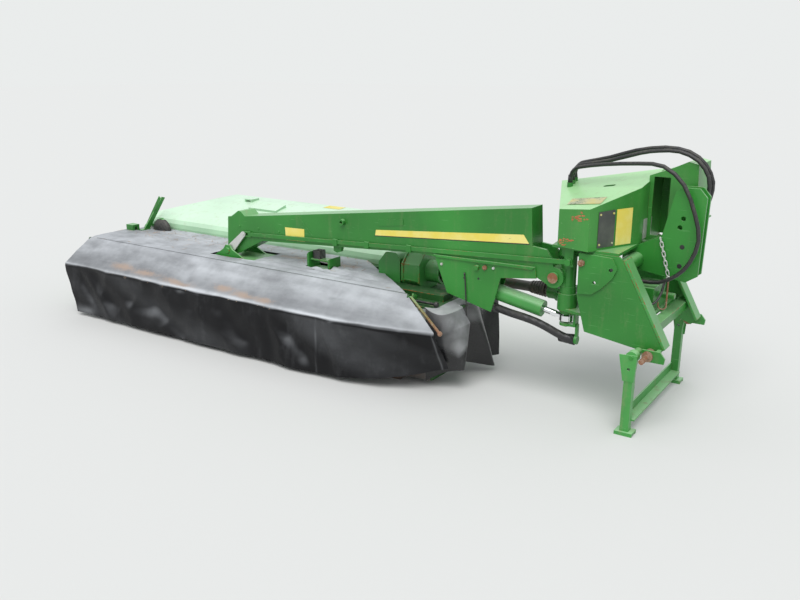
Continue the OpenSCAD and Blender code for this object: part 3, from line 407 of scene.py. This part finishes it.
# Bare and rusted steel: the link pins, the knives' bar and the shafts, the
# pale lever and the chromed piston rod. These and the hood of pale plastic keep
# their CAD shapes.
def bare(name, color, stain, amount, roughness, metallic):
    finish, shader, place = new_finish(name)
    fine = grain(place, 70.0, 7.0, 0.7)
    broad = grain(place, 6.0, 5.0, 0.6)
    spots = between(fine * 0.5 + broad * 0.5, 0.62 - 0.3 * amount, 0.80 - 0.3 * amount)
    mixed(spots, shaded(color, 1.0), shaded(stain, 1.0)).into(shader, "Base Color")
    (roughness + 0.4 * spots).into(shader, "Roughness")
    ((1.0 - spots) * metallic).into(shader, "Metallic")
    bumped(fine + spots * 0.5, shader, 0.3, 0.001)
    return finish


finishes["rusty_steel"] = bare("rusted_steel", (0.42, 0.30, 0.22), (0.24, 0.10, 0.045), 0.75, 0.5, 0.4)
finishes["pale_steel"] = bare("galvanised_steel", (0.62, 0.63, 0.60), (0.36, 0.22, 0.13), 0.25, 0.42, 0.5)
finishes["grey_steel"] = bare("worn_steel", (0.14, 0.13, 0.12), (0.16, 0.09, 0.05), 0.5, 0.5, 0.5)
finishes["chrome"] = bare("hard_chrome", (0.80, 0.81, 0.82), (0.45, 0.42, 0.38), 0.02, 0.12, 1.0)
kept_shapes = ("rusty_steel", "pale_steel", "grey_steel", "chrome", "pale_green")
for node, slot in slot_of.items():
    if slot in kept_shapes and node != "corner_stay":
        for holder in nodes[node].material_slots:
            holder.material = finishes[slot]


# Front cover: black coated fabric over the cutting discs, stretched from its
# hinge tube to the front edge and hanging from there to just above the ground.
def coated(name, color, dusty, dust, roughness, coat, level):
    """Coated fabric, paler with dust and a painted sky sheen where it faces up: its mesh's "film" adds
    more of this pale film and takes it away as painted shade, "chaff" says where dry grass stained it.
    """
    finish, shader, place = new_finish(name, coat_roughness=0.25, specular_ior_level=level)
    up = between(upward(place), 0.10, 0.85)
    broad = grain(place, 1.6, 5.0, 0.6)
    cloudy = grain(place, 11.0, 6.0, 0.65)
    fine = grain(place, 140.0, 4.0, 0.6)
    rubbed = grain(place, 6.0, 5.0, 0.6, (0.6, 2.5, 2.5))
    swept_dust_and_sheen = grain(place, 4.0, 4.0, 0.6, (2.4, 1.0, 0.7))
    settled = between(broad * 0.60 + cloudy * 0.18 + rubbed * 0.22, 0.34, 0.66)
    laid_dust_and_painted_light = place.make("Attribute", {"attribute_name": "film"}, (), "Fac")
    # The pale film on tops that face up is dust and a painted sky sheen together; the mesh's film adds
    # painted sheen and painted shade where they were laid.
    film = up * (dust * (0.46 + 0.54 * settled))
    film = film + between(cloudy * 0.35 + swept_dust_and_sheen * 0.65, 0.50, 0.72) * 0.035
    film = film + laid_dust_and_painted_light * (0.35 + 0.65 * settled)
    tone = mixed(film, shaded(color, 1.0), shaded(dusty, 1.0))
    chaff = place.make("Attribute", {"attribute_name": "chaff"}, (), "Fac")
    caught = between(cloudy * 0.35 + fine * 0.45 + rubbed * 0.2 + chaff * 0.22, 0.56, 0.70) * chaff
    tone = mixed(caught * 0.8, tone, (0.42, 0.31, 0.24, 1.0))
    tone.into(shader, "Base Color")
    (roughness + 0.22 * film + 0.12 * (fine - 0.5)).into(shader, "Roughness")
    ((1.0 - film) * coat).into(shader, "Coat Weight")
    weave = place.make("TexWave", {"bands_direction": "X"}, {"Vector": place, "Scale": 420.0}, "Fac")
    bumped(fine * 0.5 + cloudy * 1.5 + weave * 0.2 + caught * 1.5, shader, 0.22, 0.0012)
    return finish


def cloth_between(rails, shares, columns, rows):
    """Cloth through rails, each a row of places; shares says how far down the cloth each rail lies."""
    shape = bmesh.new()
    bmesh.ops.create_grid(shape, x_segments=columns, y_segments=rows, size=0.5)
    for corner in shape.verts:
        u = corner.co.x + 0.5
        v = corner.co.y + 0.5
        index = max(i for i in range(len(shares) - 1) if shares[i] <= v + 1e-9)
        t = (v - shares[index]) / (shares[index + 1] - shares[index])
        corner.co = smooth_line(rails[index], u).lerp(smooth_line(rails[index + 1], u), t)
    for face in shape.faces:
        face.smooth = True
    return shape


def clamped(value):
    return min(1.0, max(0.0, value))


def fading(*offsets):
    """1 where every offset is 0, and close to 0 beyond 2."""
    return math.exp(-sum(offset ** 2 for offset in offsets))


def creased(place, start, end, width):
    """How close a place lies to a crease: 1 on its middle, less at its ends, 0 well off it."""
    along = end - start
    t = clamped((place - start).dot(along) / along.length_squared)
    away = (place - start - along * t).length / width
    return math.exp(-away * away) * min(1.0, 4.0 * t * (1.0 - t) + 0.25)


def flat_size(rails):
    """The width and length that a cloth was cut to, measured along its rails and across them."""
    width = max(sum((b - a).length for a, b in zip(rail, rail[1:])) for rail in rails)
    length = max(sum((b[i] - a[i]).length for a, b in zip(rails, rails[1:]))
                 for i in range(len(rails[0])))
    return (round(width, 3), round(length, 3))


def area_of(shape):
    return sum(face.calc_area() for face in shape.faces)


# Its pale bluish top colour stands for dust and a painted sky sheen together.
tarp = coated("coated_fabric", (0.011, 0.011, 0.012), (0.58, 0.60, 0.625), 0.95, 0.40, 0.06, 0.10)

# The cover's lines from its hinge down to its hem, each a row of places from
# the outer end to the inner corner.
tube_back = [at(x, -0.4655, 0.5545)
             for x in (-4.395, -3.80, -3.00, -2.40, -1.95, -1.68, -1.425)]
tube_top = [at(x, -0.482, 0.5555)
            for x in (-4.395, -3.80, -3.00, -2.40, -1.95, -1.68, -1.418)]
slope_line = [at(-4.405, -0.610, 0.475), at(-3.80, -0.620, 0.476), at(-3.00, -0.622, 0.468),
              at(-2.40, -0.620, 0.474), at(-1.93, -0.620, 0.480), at(-1.58, -0.600, 0.482),
              at(-1.270, -0.560, 0.478)]
front_edge = [at(-4.400, -0.724, 0.398), at(-3.80, -0.727, 0.393), at(-3.00, -0.728, 0.388),
              at(-2.40, -0.728, 0.390), at(-1.90, -0.726, 0.391), at(-1.48, -0.700, 0.402),
              at(-1.144, -0.622, 0.403)]
edge_under = [place + Vector((0.0, -0.006, -0.022)) for place in front_edge]
curtain_line = [at(-4.350, -0.735, 0.20), at(-3.78, -0.738, 0.20), at(-3.00, -0.742, 0.20),
                at(-2.40, -0.740, 0.20), at(-1.89, -0.738, 0.21), at(-1.46, -0.690, 0.235),
                at(-1.128, -0.560, 0.27)]
hem_line = [at(-4.295, -0.738, 0.030), at(-3.76, -0.740, 0.030), at(-3.00, -0.744, 0.029),
            at(-2.40, -0.742, 0.030), at(-1.883, -0.738, 0.030), at(-1.45, -0.655, 0.075),
            at(-1.124, -0.490, 0.150)]
front_rails = [tube_back, tube_top, slope_line, front_edge, edge_under, curtain_line, hem_line]
front = cloth_between(front_rails, [0.0, 0.035, 0.27, 0.50, 0.53, 0.77, 1.0],
                      columns=280, rows=80)
front_area = area_of(front)
# Creases of the curtain and the slope: start, end, width and depth.
front_creases = [
    (at(-4.28, -0.74, 0.36), at(-4.00, -0.74, 0.05), 0.05, 0.016),
    (at(-3.55, -0.74, 0.33), at(-3.05, -0.74, 0.04), 0.06, 0.014),
    (at(-2.75, -0.74, 0.34), at(-2.45, -0.74, 0.06), 0.07, 0.014),
    (at(-2.35, -0.74, 0.36), at(-2.28, -0.74, 0.05), 0.05, 0.012),
    (at(-3.08, -0.73, 0.39), at(-3.22, -0.55, 0.51), 0.06, 0.030),
    (at(-1.95, -0.74, 0.38), at(-1.80, -0.72, 0.05), 0.05, 0.014),
    (at(-1.60, -0.69, 0.36), at(-1.40, -0.66, 0.08), 0.05, 0.016),
    (at(-2.55, -0.73, 0.40), at(-2.35, -0.50, 0.55), 0.07, 0.018),
    (at(-1.98, -0.73, 0.40), at(-1.86, -0.52, 0.53), 0.05, 0.016),
    (at(-1.62, -0.71, 0.40), at(-1.60, -0.55, 0.50), 0.06, 0.014),
    (at(-4.10, -0.74, 0.38), at(-3.80, -0.74, 0.10), 0.08, 0.016),
    (at(-3.80, -0.74, 0.22), at(-3.30, -0.74, 0.20), 0.06, 0.012),
    (at(-2.20, -0.74, 0.30), at(-1.95, -0.74, 0.08), 0.06, 0.016),
    (at(-1.75, -0.73, 0.20), at(-1.30, -0.62, 0.22), 0.05, 0.012)]
# Where dry grass lies on the slope: the middle of each patch, its reach along
# the cover and across it.
stains = [(-3.78, -0.665, 0.16, 0.035), (-3.52, -0.675, 0.20, 0.030), (-3.20, -0.690, 0.22, 0.030),
          (-2.76, -0.670, 0.12, 0.030), (-2.55, -0.685, 0.16, 0.030), (-2.36, -0.695, 0.10, 0.025)]


def stained(local):
    return max(fading((local.x - x) / reach, (local.y - y) / across) for x, y, reach, across in stains)


film_layer = front.verts.layers.float.new("film")
chaff_layer = front.verts.layers.float.new("chaff")
for corner in front.verts:
    local = corner.co - hitch
    sag = sum(depth * creased(corner.co, start, end, width) for start, end, width, depth in front_creases)
    ripple = 0.018 * noise.noise(corner.co * 2.3) + 0.005 * noise.noise(corner.co * 9.0)
    up = clamped((corner.co.z - 0.39) / 0.05) * clamped((-0.50 - local.y) / 0.05)
    hanging = clamped((0.41 - corner.co.z) / 0.04)
    corner.co.y += hanging * (1.1 * sag + 1.4 * abs(ripple))
    corner.co.z += up * min(0.0, 0.9 * ripple - 0.9 * sag)
    edge = fading((local.z - 0.397) / 0.010)
    outer_hem = fading((local.x + 4.20) / 0.10, (local.z - 0.05) / 0.03)
    seam = fading((local.x + 1.155) / 0.004) + fading((local.x + 1.93) / 0.004) * 0.5
    streak = noise.noise(Vector((local.x * 2.2 + local.z * 4.0, 0.5, local.z * 2.5)))
    # Pale streaks down the hanging cloth: dust, and painted sheen along its soft wrinkles.
    swept_dust_and_sheen = hanging * max(0.0, streak) * 0.14
    ridge_shade = fading((local.y + 0.54) / 0.025) * (0.14 if local.z > 0.45 else 0.0)
    lower_slope = clamped((-0.56 - local.y) / 0.10) * (1.0 - hanging)
    corner[film_layer] = (0.50 * edge + 0.45 * outer_hem + 0.20 * hanging * seam + swept_dust_and_sheen - ridge_shade
                          - 0.36 * lower_slope)
    corner[chaff_layer] = stained(local) * (1.0 if local.z > 0.38 else 0.0)
front_tarp = show(front, "front_tarp.cloth", tarp, "front_cover")
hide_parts("front_tarp")
front_flat = flat_size(front_rails)


# Deck cover: the same fabric laid over the deck behind the hinge, loose and
# rumpled, cut out round the arm's bracket and cut at a slant near the drive.
deck_size = Vector((2.985, 0.568, 0.0))
deck_middle = at(-2.90, -0.183, 0.552)
deck_cloth = bmesh.new()
bmesh.ops.create_grid(deck_cloth, x_segments=260, y_segments=64, size=0.5,
                      matrix=Matrix.Translation(deck_middle) @ Matrix.Diagonal((*deck_size.xy, 1.0, 1.0)))
slant = [at(-1.975, -0.025, 0.0), at(-1.526, -0.393, 0.0)]
across = (slant[1] - slant[0]).cross(Vector((0.0, 0.0, 1.0)))
bmesh.ops.bisect_plane(deck_cloth, geom=deck_cloth.verts[:] + deck_cloth.edges[:] + deck_cloth.faces[:],
                       plane_co=slant[0], plane_no=-across, clear_outer=True)
openings = [(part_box("pivot_bracket"), 0.012), (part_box("arm_buffer"), 0.008)]


def in_opening(place):
    return any(low.x - gap < place.x < high.x + gap and low.y - gap < place.y < high.y + gap
               for (low, high), gap in openings)


cut_out = [face for face in deck_cloth.faces if in_opening(face.calc_center_median())]
bmesh.ops.delete(deck_cloth, geom=cut_out, context="FACES")
deck_area = area_of(deck_cloth)
overlap_y = at(0.0, -0.10, 0.0).y
film_layer = deck_cloth.verts.layers.float.new("film")
chaff_layer = deck_cloth.verts.layers.float.new("chaff")
for corner in deck_cloth.verts:
    local = corner.co - hitch
    near_arm = creased(corner.co, at(-2.70, -0.30, 0.55), at(-1.75, -0.30, 0.55), 0.16)
    wave = noise.noise(Vector((corner.co.x * 2.2, corner.co.y * 7.0, 0.3)))
    small = noise.noise(Vector((corner.co.x * 9.0 + corner.co.y * 6.0, corner.co.y * 16.0, 4.0)))
    loose = 0.0 if local.y < -0.395 else 1.0
    corner.co.z += (0.4 + 2.6 * near_arm) * (0.010 * abs(wave) + 0.007 * abs(small)) * loose
    corner.co.z += (0.010 * clamped((overlap_y - corner.co.y) / 0.012)
                    - 0.0050 * clamped((-0.430 - local.y) / 0.035))
    # Less of the pale film along the fold at the overlap: a painted shadow under the flap's edge. More of
    # it near the arm.
    corner[film_layer] = 0.35 * near_arm - 0.25 * fading((local.y + 0.10) / 0.02)
    corner[chaff_layer] = 0.8 * fading((local.y + 0.16) / 0.05) * (1.0 if -2.7 < local.x < -2.0 else 0.3)
for face in deck_cloth.faces:
    face.smooth = True
deck_tarp = show(deck_cloth, "deck_tarp.cloth", tarp, "mower")
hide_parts("deck_tarp")


# Dry grass: bleached stalks of the last cut, flat strips that lie as they fell
# on the two covers, with nothing that holds them.
def stalks(name, cloth, weight, count, body):
    places = [corner for corner in cloth.data.vertices if draw.random() < weight(corner.co - hitch)]
    shape = bmesh.new()
    for corner in draw.sample(places, min(count, len(places))):
        lying = corner.normal.to_track_quat("Z", "X").to_matrix().to_4x4()
        turned = Matrix.Rotation(draw.uniform(0.0, math.pi), 4, "Z")
        size = Matrix.Diagonal((draw.uniform(0.015, 0.055), draw.uniform(0.002, 0.004), 1.0, 1.0))
        lifted = Matrix.Translation(corner.co + corner.normal * 0.003)
        bmesh.ops.create_grid(shape, x_segments=2, y_segments=1, size=0.5,
                              matrix=lifted @ lying @ turned @ size)
    finish, shader, place = new_finish(name, roughness=0.8)
    tone = mixed(between(grain(place, 25.0), 0.4, 0.6), (0.62, 0.48, 0.36, 1.0), (0.30, 0.20, 0.12, 1.0))
    tone.into(shader, "Base Color")
    bumped(grain(place, 300.0), shader, 0.3, 0.001)
    show(shape, name, finish, body)


stalks("front_tarp.stalks", front_tarp,
       lambda local: 0.9 * stained(local) if local.z > 0.39 else 0.0, 420, "front_cover")
stalks("deck_tarp.stalks", deck_tarp,
       lambda local: 0.25 if local.y > -0.24 and local.x < -2.0 else 0.02, 260, "mower")


# Curtain at the inner end: heavy rubberised fabric laid over the end of the
# lower deck and hung from it in deep folds, so that it gives way to the swath.
# Its pale top colour stands for dust and a painted sky sheen together.
rubber = coated("rubber_sheet", (0.008, 0.008, 0.009), (0.52, 0.53, 0.54), 0.55, 0.26, 0.45, 0.4)
shelf_rail = [at(-1.300, -0.474, 0.4945)]
shelf_rail += [at(-1.235, y, 0.4945) for y in (-0.450, -0.370, -0.290, -0.180, -0.050, 0.088)]
curtain_rails = [
    shelf_rail,
    [at(-1.290, -0.476, 0.486), at(-1.150, -0.530, 0.488), at(-1.112, -0.360, 0.494),
     at(-1.150, -0.310, 0.494), at(-1.098, -0.220, 0.494), at(-1.135, -0.080, 0.492),
     at(-1.108, 0.088, 0.490)],
    [at(-1.285, -0.478, 0.300), at(-1.140, -0.520, 0.370), at(-1.066, -0.335, 0.400),
     at(-1.185, -0.290, 0.360), at(-1.062, -0.160, 0.300), at(-1.155, -0.020, 0.320),
     at(-1.092, 0.090, 0.300)],
    [at(-1.285, -0.474, 0.035), at(-1.165, -0.450, 0.110), at(-1.066, -0.400, 0.130),
     at(-1.178, -0.240, 0.110), at(-1.052, -0.040, 0.045), at(-1.142, 0.020, 0.060),
     at(-1.088, 0.092, 0.075)]]
hung = cloth_between(curtain_rails, [0.0, 0.18, 0.55, 1.0], columns=150, rows=90)
hung_area = area_of(hung)
film_layer = hung.verts.layers.float.new("film")
hung.verts.layers.float.new("chaff")
for corner in hung.verts:
    local = corner.co - hitch
    # The two panels that face up and to the front are made pale and the fold between them stays black:
    # painted sheen on the lit panels.
    first = fading((local.y + 0.44 + 0.25 * (local.z - 0.4)) / 0.085)
    first *= clamped((local.z - 0.20 - 0.8 * abs(local.y + 0.43)) / 0.04)
    second = fading((local.y + 0.16) / 0.14) * clamped((local.z - 0.36) / 0.06)
    corner[film_layer] = (0.62 * first + 0.55 * second) * (0.6 + 0.8 * abs(noise.noise(local * 9.0)))
    corner.co += Vector((0.006 * noise.noise(local * 6.0), 0.0, 0.0))
end_curtain = show(hung, "end_curtain.cloth", rubber, "mower")
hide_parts("end_curtain")
hung_flat = flat_size(curtain_rails)


# The cover frame's steel arm at the inner corner has lost its paint below its
# bend and is rusty there.
frame_copy = bpy.data.objects["front_frame.eased"]
frame_copy.data.materials.append(finishes["rusty_steel"])
for face in frame_copy.data.polygons:
    middle = face.center - hitch
    face.material_index = 1 if middle.x > -1.30 and middle.z < 0.480 else 0


# Pieces in two finishes: the corner stay's black rod and knob in its green
# bracket, the rubber block under the arm, the rubber dome with its green ring,
# and the chain of plated links with its rusty hook.
black_plastic = hose_rubber("moulded_rubber", 0.30, 0.02)
rounded("corner_stay", 0.002, [(lambda middle: -1.4205 < middle.x < -1.4095, finishes["green_paint"]),
                               (anywhere, black_plastic)])
rounded("arm_buffer", 0.002, [(lambda middle: middle.z > 0.622 and -2.30 < middle.x < -2.238,
                               black_plastic), (anywhere, finishes["green_paint"])])
rounded("outer_dome", 0.002, [(lambda middle: middle.z > 0.640, finishes["green_paint"]),
                              (anywhere, black_plastic)])
rounded("check_chain", 0.002, [(lambda middle: middle.z > 0.735, finishes["pale_steel"]),
                               (anywhere, finishes["rusty_steel"])])


# Printed film and thin plates, all blank: the yellow stripe on the arm with
# its dark lower edge, the yellow labels and a grey plate. They are glued or riveted.
def sticker(name, color, faded, under, worn):
    finish, shader, place = new_finish(name, roughness=0.45)
    broad = grain(place, 7.0, 5.0, 0.6)
    fine = grain(place, 80.0, 5.0, 0.7)
    tone = mixed(between(broad, 0.35, 0.70), shaded(color, 1.0), shaded(faded, 1.0))
    bald = between(fine * 0.5 + broad * 0.5, 0.66 - 0.16 * worn, 0.70 - 0.16 * worn)
    tone = mixed(bald, tone, shaded(under, 1.0))
    tone.into(shader, "Base Color")
    (0.30 + 0.35 * broad).into(shader, "Roughness")
    bumped(fine + broad, shader, 0.15, 0.001)
    return finish


def panel(name, corners, thickness, finish, body):
    """A thin plate on four corners, anticlockwise from outside, that stands thickness proud of them."""
    shape = bmesh.new()
    bmesh.ops.create_grid(shape, x_segments=12, y_segments=4, size=0.5)
    first, second, third, fourth = (at(*corner) for corner in corners)
    for corner in shape.verts:
        u, v = corner.co.x + 0.5, corner.co.y + 0.5
        corner.co = first.lerp(second, u).lerp(fourth.lerp(third, u), v)
    shape.normal_update()
    outward = shape.faces[:][0].normal * thickness
    raised = bmesh.ops.extrude_face_region(shape, geom=shape.faces[:])
    top = [item for item in raised["geom"] if isinstance(item, bmesh.types.BMVert)]
    bmesh.ops.translate(shape, vec=outward, verts=top)
    show(shape, name, finish, body)


def stood_off(places, away):
    return [tuple(Vector(place) + away) for place in places]


yellow_film = sticker("yellow_film", (0.80, 0.66, 0.10), (0.84, 0.74, 0.24), (0.20, 0.30, 0.10), 0.1)
worn_film = sticker("worn_yellow_film", (0.62, 0.56, 0.16), (0.50, 0.50, 0.38), (0.10, 0.20, 0.08), 0.7)
grey_plate = sticker("grey_plate", (0.055, 0.060, 0.055), (0.10, 0.11, 0.09), (0.16, 0.10, 0.05), 0.3)
# Dark film: the dark print, and the painted shade inside the holes below.
dark_print_and_hole_shade = sticker("dark_print_and_hole_shade", (0.012, 0.014, 0.012), (0.03, 0.03, 0.03), (0.05, 0.12, 0.05), 0.1)
pale_film = sticker("pale_film", (0.50, 0.52, 0.46), (0.36, 0.40, 0.34), (0.05, 0.20, 0.05), 0.3)
primer = sticker("red_primer", (0.42, 0.10, 0.03), (0.50, 0.20, 0.08), (0.24, 0.08, 0.03), 0.3)
arm_face = -0.3203
panel("arm.stripe", [(-1.760, arm_face, 0.845), (-0.722, arm_face, 0.916), (-0.756, arm_face, 0.963),
                     (-1.754, arm_face, 0.880)], 0.0008, yellow_film, "arm")
panel("arm.stripe_edge", [(-1.765, arm_face, 0.840), (-0.719, arm_face, 0.911), (-0.722, arm_face, 0.916),
                          (-1.760, arm_face, 0.845)], 0.0008, dark_print_and_hole_shade, "arm")
panel("arm.label", [(-2.496, arm_face, 0.730), (-2.335, arm_face, 0.737), (-2.334, arm_face, 0.820),
                    (-2.501, arm_face, 0.815)], 0.0006, yellow_film, "arm")
facet_way = Vector((0.917, -0.3995, 0.0))
facet = facet_way * 0.0015
panel("cover.riveted_plate", stood_off([(-0.329, -0.343, 0.943), (-0.281, -0.234, 0.943),
                                        (-0.281, -0.234, 1.136), (-0.329, -0.343, 1.133)], facet),
      0.0015, grey_plate, "headstock")
panel("cover.label", stood_off([(-0.276, -0.222, 0.943), (-0.229, -0.112, 0.941),
                                (-0.229, -0.112, 1.135), (-0.276, -0.222, 1.136)], facet),
      0.0008, yellow_film, "headstock")
panel("cover.grey_patch", [(-0.2052, 0.013, 0.945), (-0.2052, 0.156, 0.942), (-0.2052, 0.160, 1.048),
                           (-0.2052, 0.014, 1.055)], 0.0008, pale_film, "headstock")
lid = Vector((-0.1647, -0.158, 0.9736)) * 0.0015
panel("cover.lid_label", stood_off([(-0.531, -0.278, 1.1448), (-0.333, -0.318, 1.172),
                                    (-0.343, -0.193, 1.190), (-0.547, -0.168, 1.159)], lid),
      0.0006, worn_film, "headstock")
panel("hood.label", [(-2.960, 0.650, 0.7658), (-2.800, 0.650, 0.7658), (-2.800, 0.735, 0.7684),
                     (-2.960, 0.735, 0.7684)], 0.0010, yellow_film, "mower")


# Scratches on the cover's narrow face beside the arm: paint scraped off down to
# orange-red primer, in a low and a high cluster.
scraped_from = Vector((-0.545, -0.347))
scraped_to = Vector((-0.357, -0.4015))
scratch_count = 34
for index in range(scratch_count):
    low = index % 2
    share = draw.uniform(0.02, 0.45) if low else draw.uniform(0.40, 0.92)
    bottom = draw.uniform(0.938, 0.975) if low else draw.uniform(1.075, 1.125)
    height = draw.uniform(0.006, 0.022)
    start = scraped_from.lerp(scraped_to, share)
    end = start + (scraped_to - scraped_from).normalized() * draw.uniform(0.004, 0.026)
    panel("cover.scratch_%d" % index,
          [(start.x, start.y - 0.0006, bottom), (end.x, end.y - 0.0006, bottom + 0.003),
           (end.x, end.y - 0.0006, bottom + 0.003 + height * 0.3),
           (start.x, start.y - 0.0006, bottom + height * 0.5)], 0.0003, primer, "headstock")
panel("gearbox.label", [(-0.591, -0.1255, 0.554), (-0.542, -0.1255, 0.551), (-0.539, -0.1255, 0.613),
                        (-0.591, -0.1255, 0.608)], 0.0006, dark_print_and_hole_shade, "swivel")


# Small fasteners and pressed marks: nuts, bolt heads, rivets, the arm's three
# dimples, the weld fold and the pressed rectangle on its face.
def studs(name, places, direction, across, height, finish, body, sides=6, nose=True):
    """Round or hexagonal heads, across wide and height tall, each with the end of its bolt as a nose."""
    shape = bmesh.new()
    rise = Vector(direction) * height
    for place in places:
        start = at(*place)
        cone(shape, start, start + rise, across, across * 0.92, sides)
        if nose:
            cone(shape, start + rise, start + rise * 1.5, across * 0.45, across * 0.40, 10)
    show(shape, name, finish, body)


near = (0.0, -1.0, 0.0)
rusted, plated = finishes["rusty_steel"], finishes["pale_steel"]
studs("pod.bolts", [(-0.984, -0.3300, 0.748)], near, 0.030, 0.012, rusted, "arm")
studs("pod.nuts", [(-0.929, -0.3300, 0.752), (-1.271, -0.3300, 0.731)], near, 0.018, 0.008, plated, "arm")
# Black discs where the pod's holes are: painted shade.
studs("pod.painted_hole_shade", [(-1.118, -0.3300, 0.668), (-1.025, -0.3300, 0.676)], near, 0.014, 0.0006, dark_print_and_hole_shade,
      "arm", sides=16, nose=False)
studs("side_plate.nut", [(-0.397, -0.3645, 0.861)], near, 0.040, 0.016, rusted, "headstock")
# A black disc where the side plate's hole is: painted shade.
studs("side_plate.painted_hole_shade", [(-0.234, -0.3645, 0.844)], near, 0.016, 0.0006, dark_print_and_hole_shade, "headstock",
      sides=16, nose=False)
studs("arm.dimples", [(-2.924, -0.3200, 0.776), (-2.747, -0.3200, 0.777), (-2.561, -0.3200, 0.774)], near,
      0.018, 0.003, finishes["green_paint"], "arm", sides=16, nose=False)
studs("arm.lift_pin", [(-0.570, -0.3323, 0.745)], near, 0.060, 0.0015, rusted, "arm",
      sides=28, nose=False)
# Black discs where the mast's holes are: painted shade.
studs("mast.painted_hole_shade", [(0.027, -0.0432, 0.938), (0.022, -0.0432, 0.834)], near, 0.026, 0.0006, dark_print_and_hole_shade,
      "headstock", sides=20, nose=False)
rivets = stood_off([(-0.324, -0.331, 0.960), (-0.286, -0.245, 0.960), (-0.324, -0.331, 1.118),
                    (-0.286, -0.245, 1.118)], facet * 2.0)
studs("cover.rivets", rivets, facet_way, 0.012, 0.003, worn_film, "headstock", sides=10)
panel("arm.fold", [(-2.271, arm_face, 0.779), (-2.263, arm_face, 0.783), (-2.373, arm_face, 0.896),
                   (-2.381, arm_face, 0.892)], 0.0020, finishes["green_paint"], "arm")
panel("arm.pressed", [(-1.733, arm_face, 0.905), (-1.550, arm_face, 0.929), (-1.550, arm_face, 0.968),
                      (-1.738, arm_face, 0.943)], 0.0025, finishes["green_paint"], "arm")


# Couplings on the levelling rod: three painted steel blocks, clamped round it
# along its length.
rod_end_x, rod_end_z = -2.874, 0.722
rod_length, rod_rise = 2.392, 0.126
block = Matrix.Diagonal((0.034, 0.016, 0.040, 1.0))
couplings = bmesh.new()
for x in (-2.069, -1.819, -1.505):
    place = at(x, -0.3295, rod_end_z + (x - rod_end_x) * rod_rise / rod_length)
    bmesh.ops.create_cube(couplings, size=1.0, matrix=Matrix.Translation(place) @ block)
show(couplings, "levelling_rod.couplings", finishes["green_paint"], body_of["levelling_rod"])
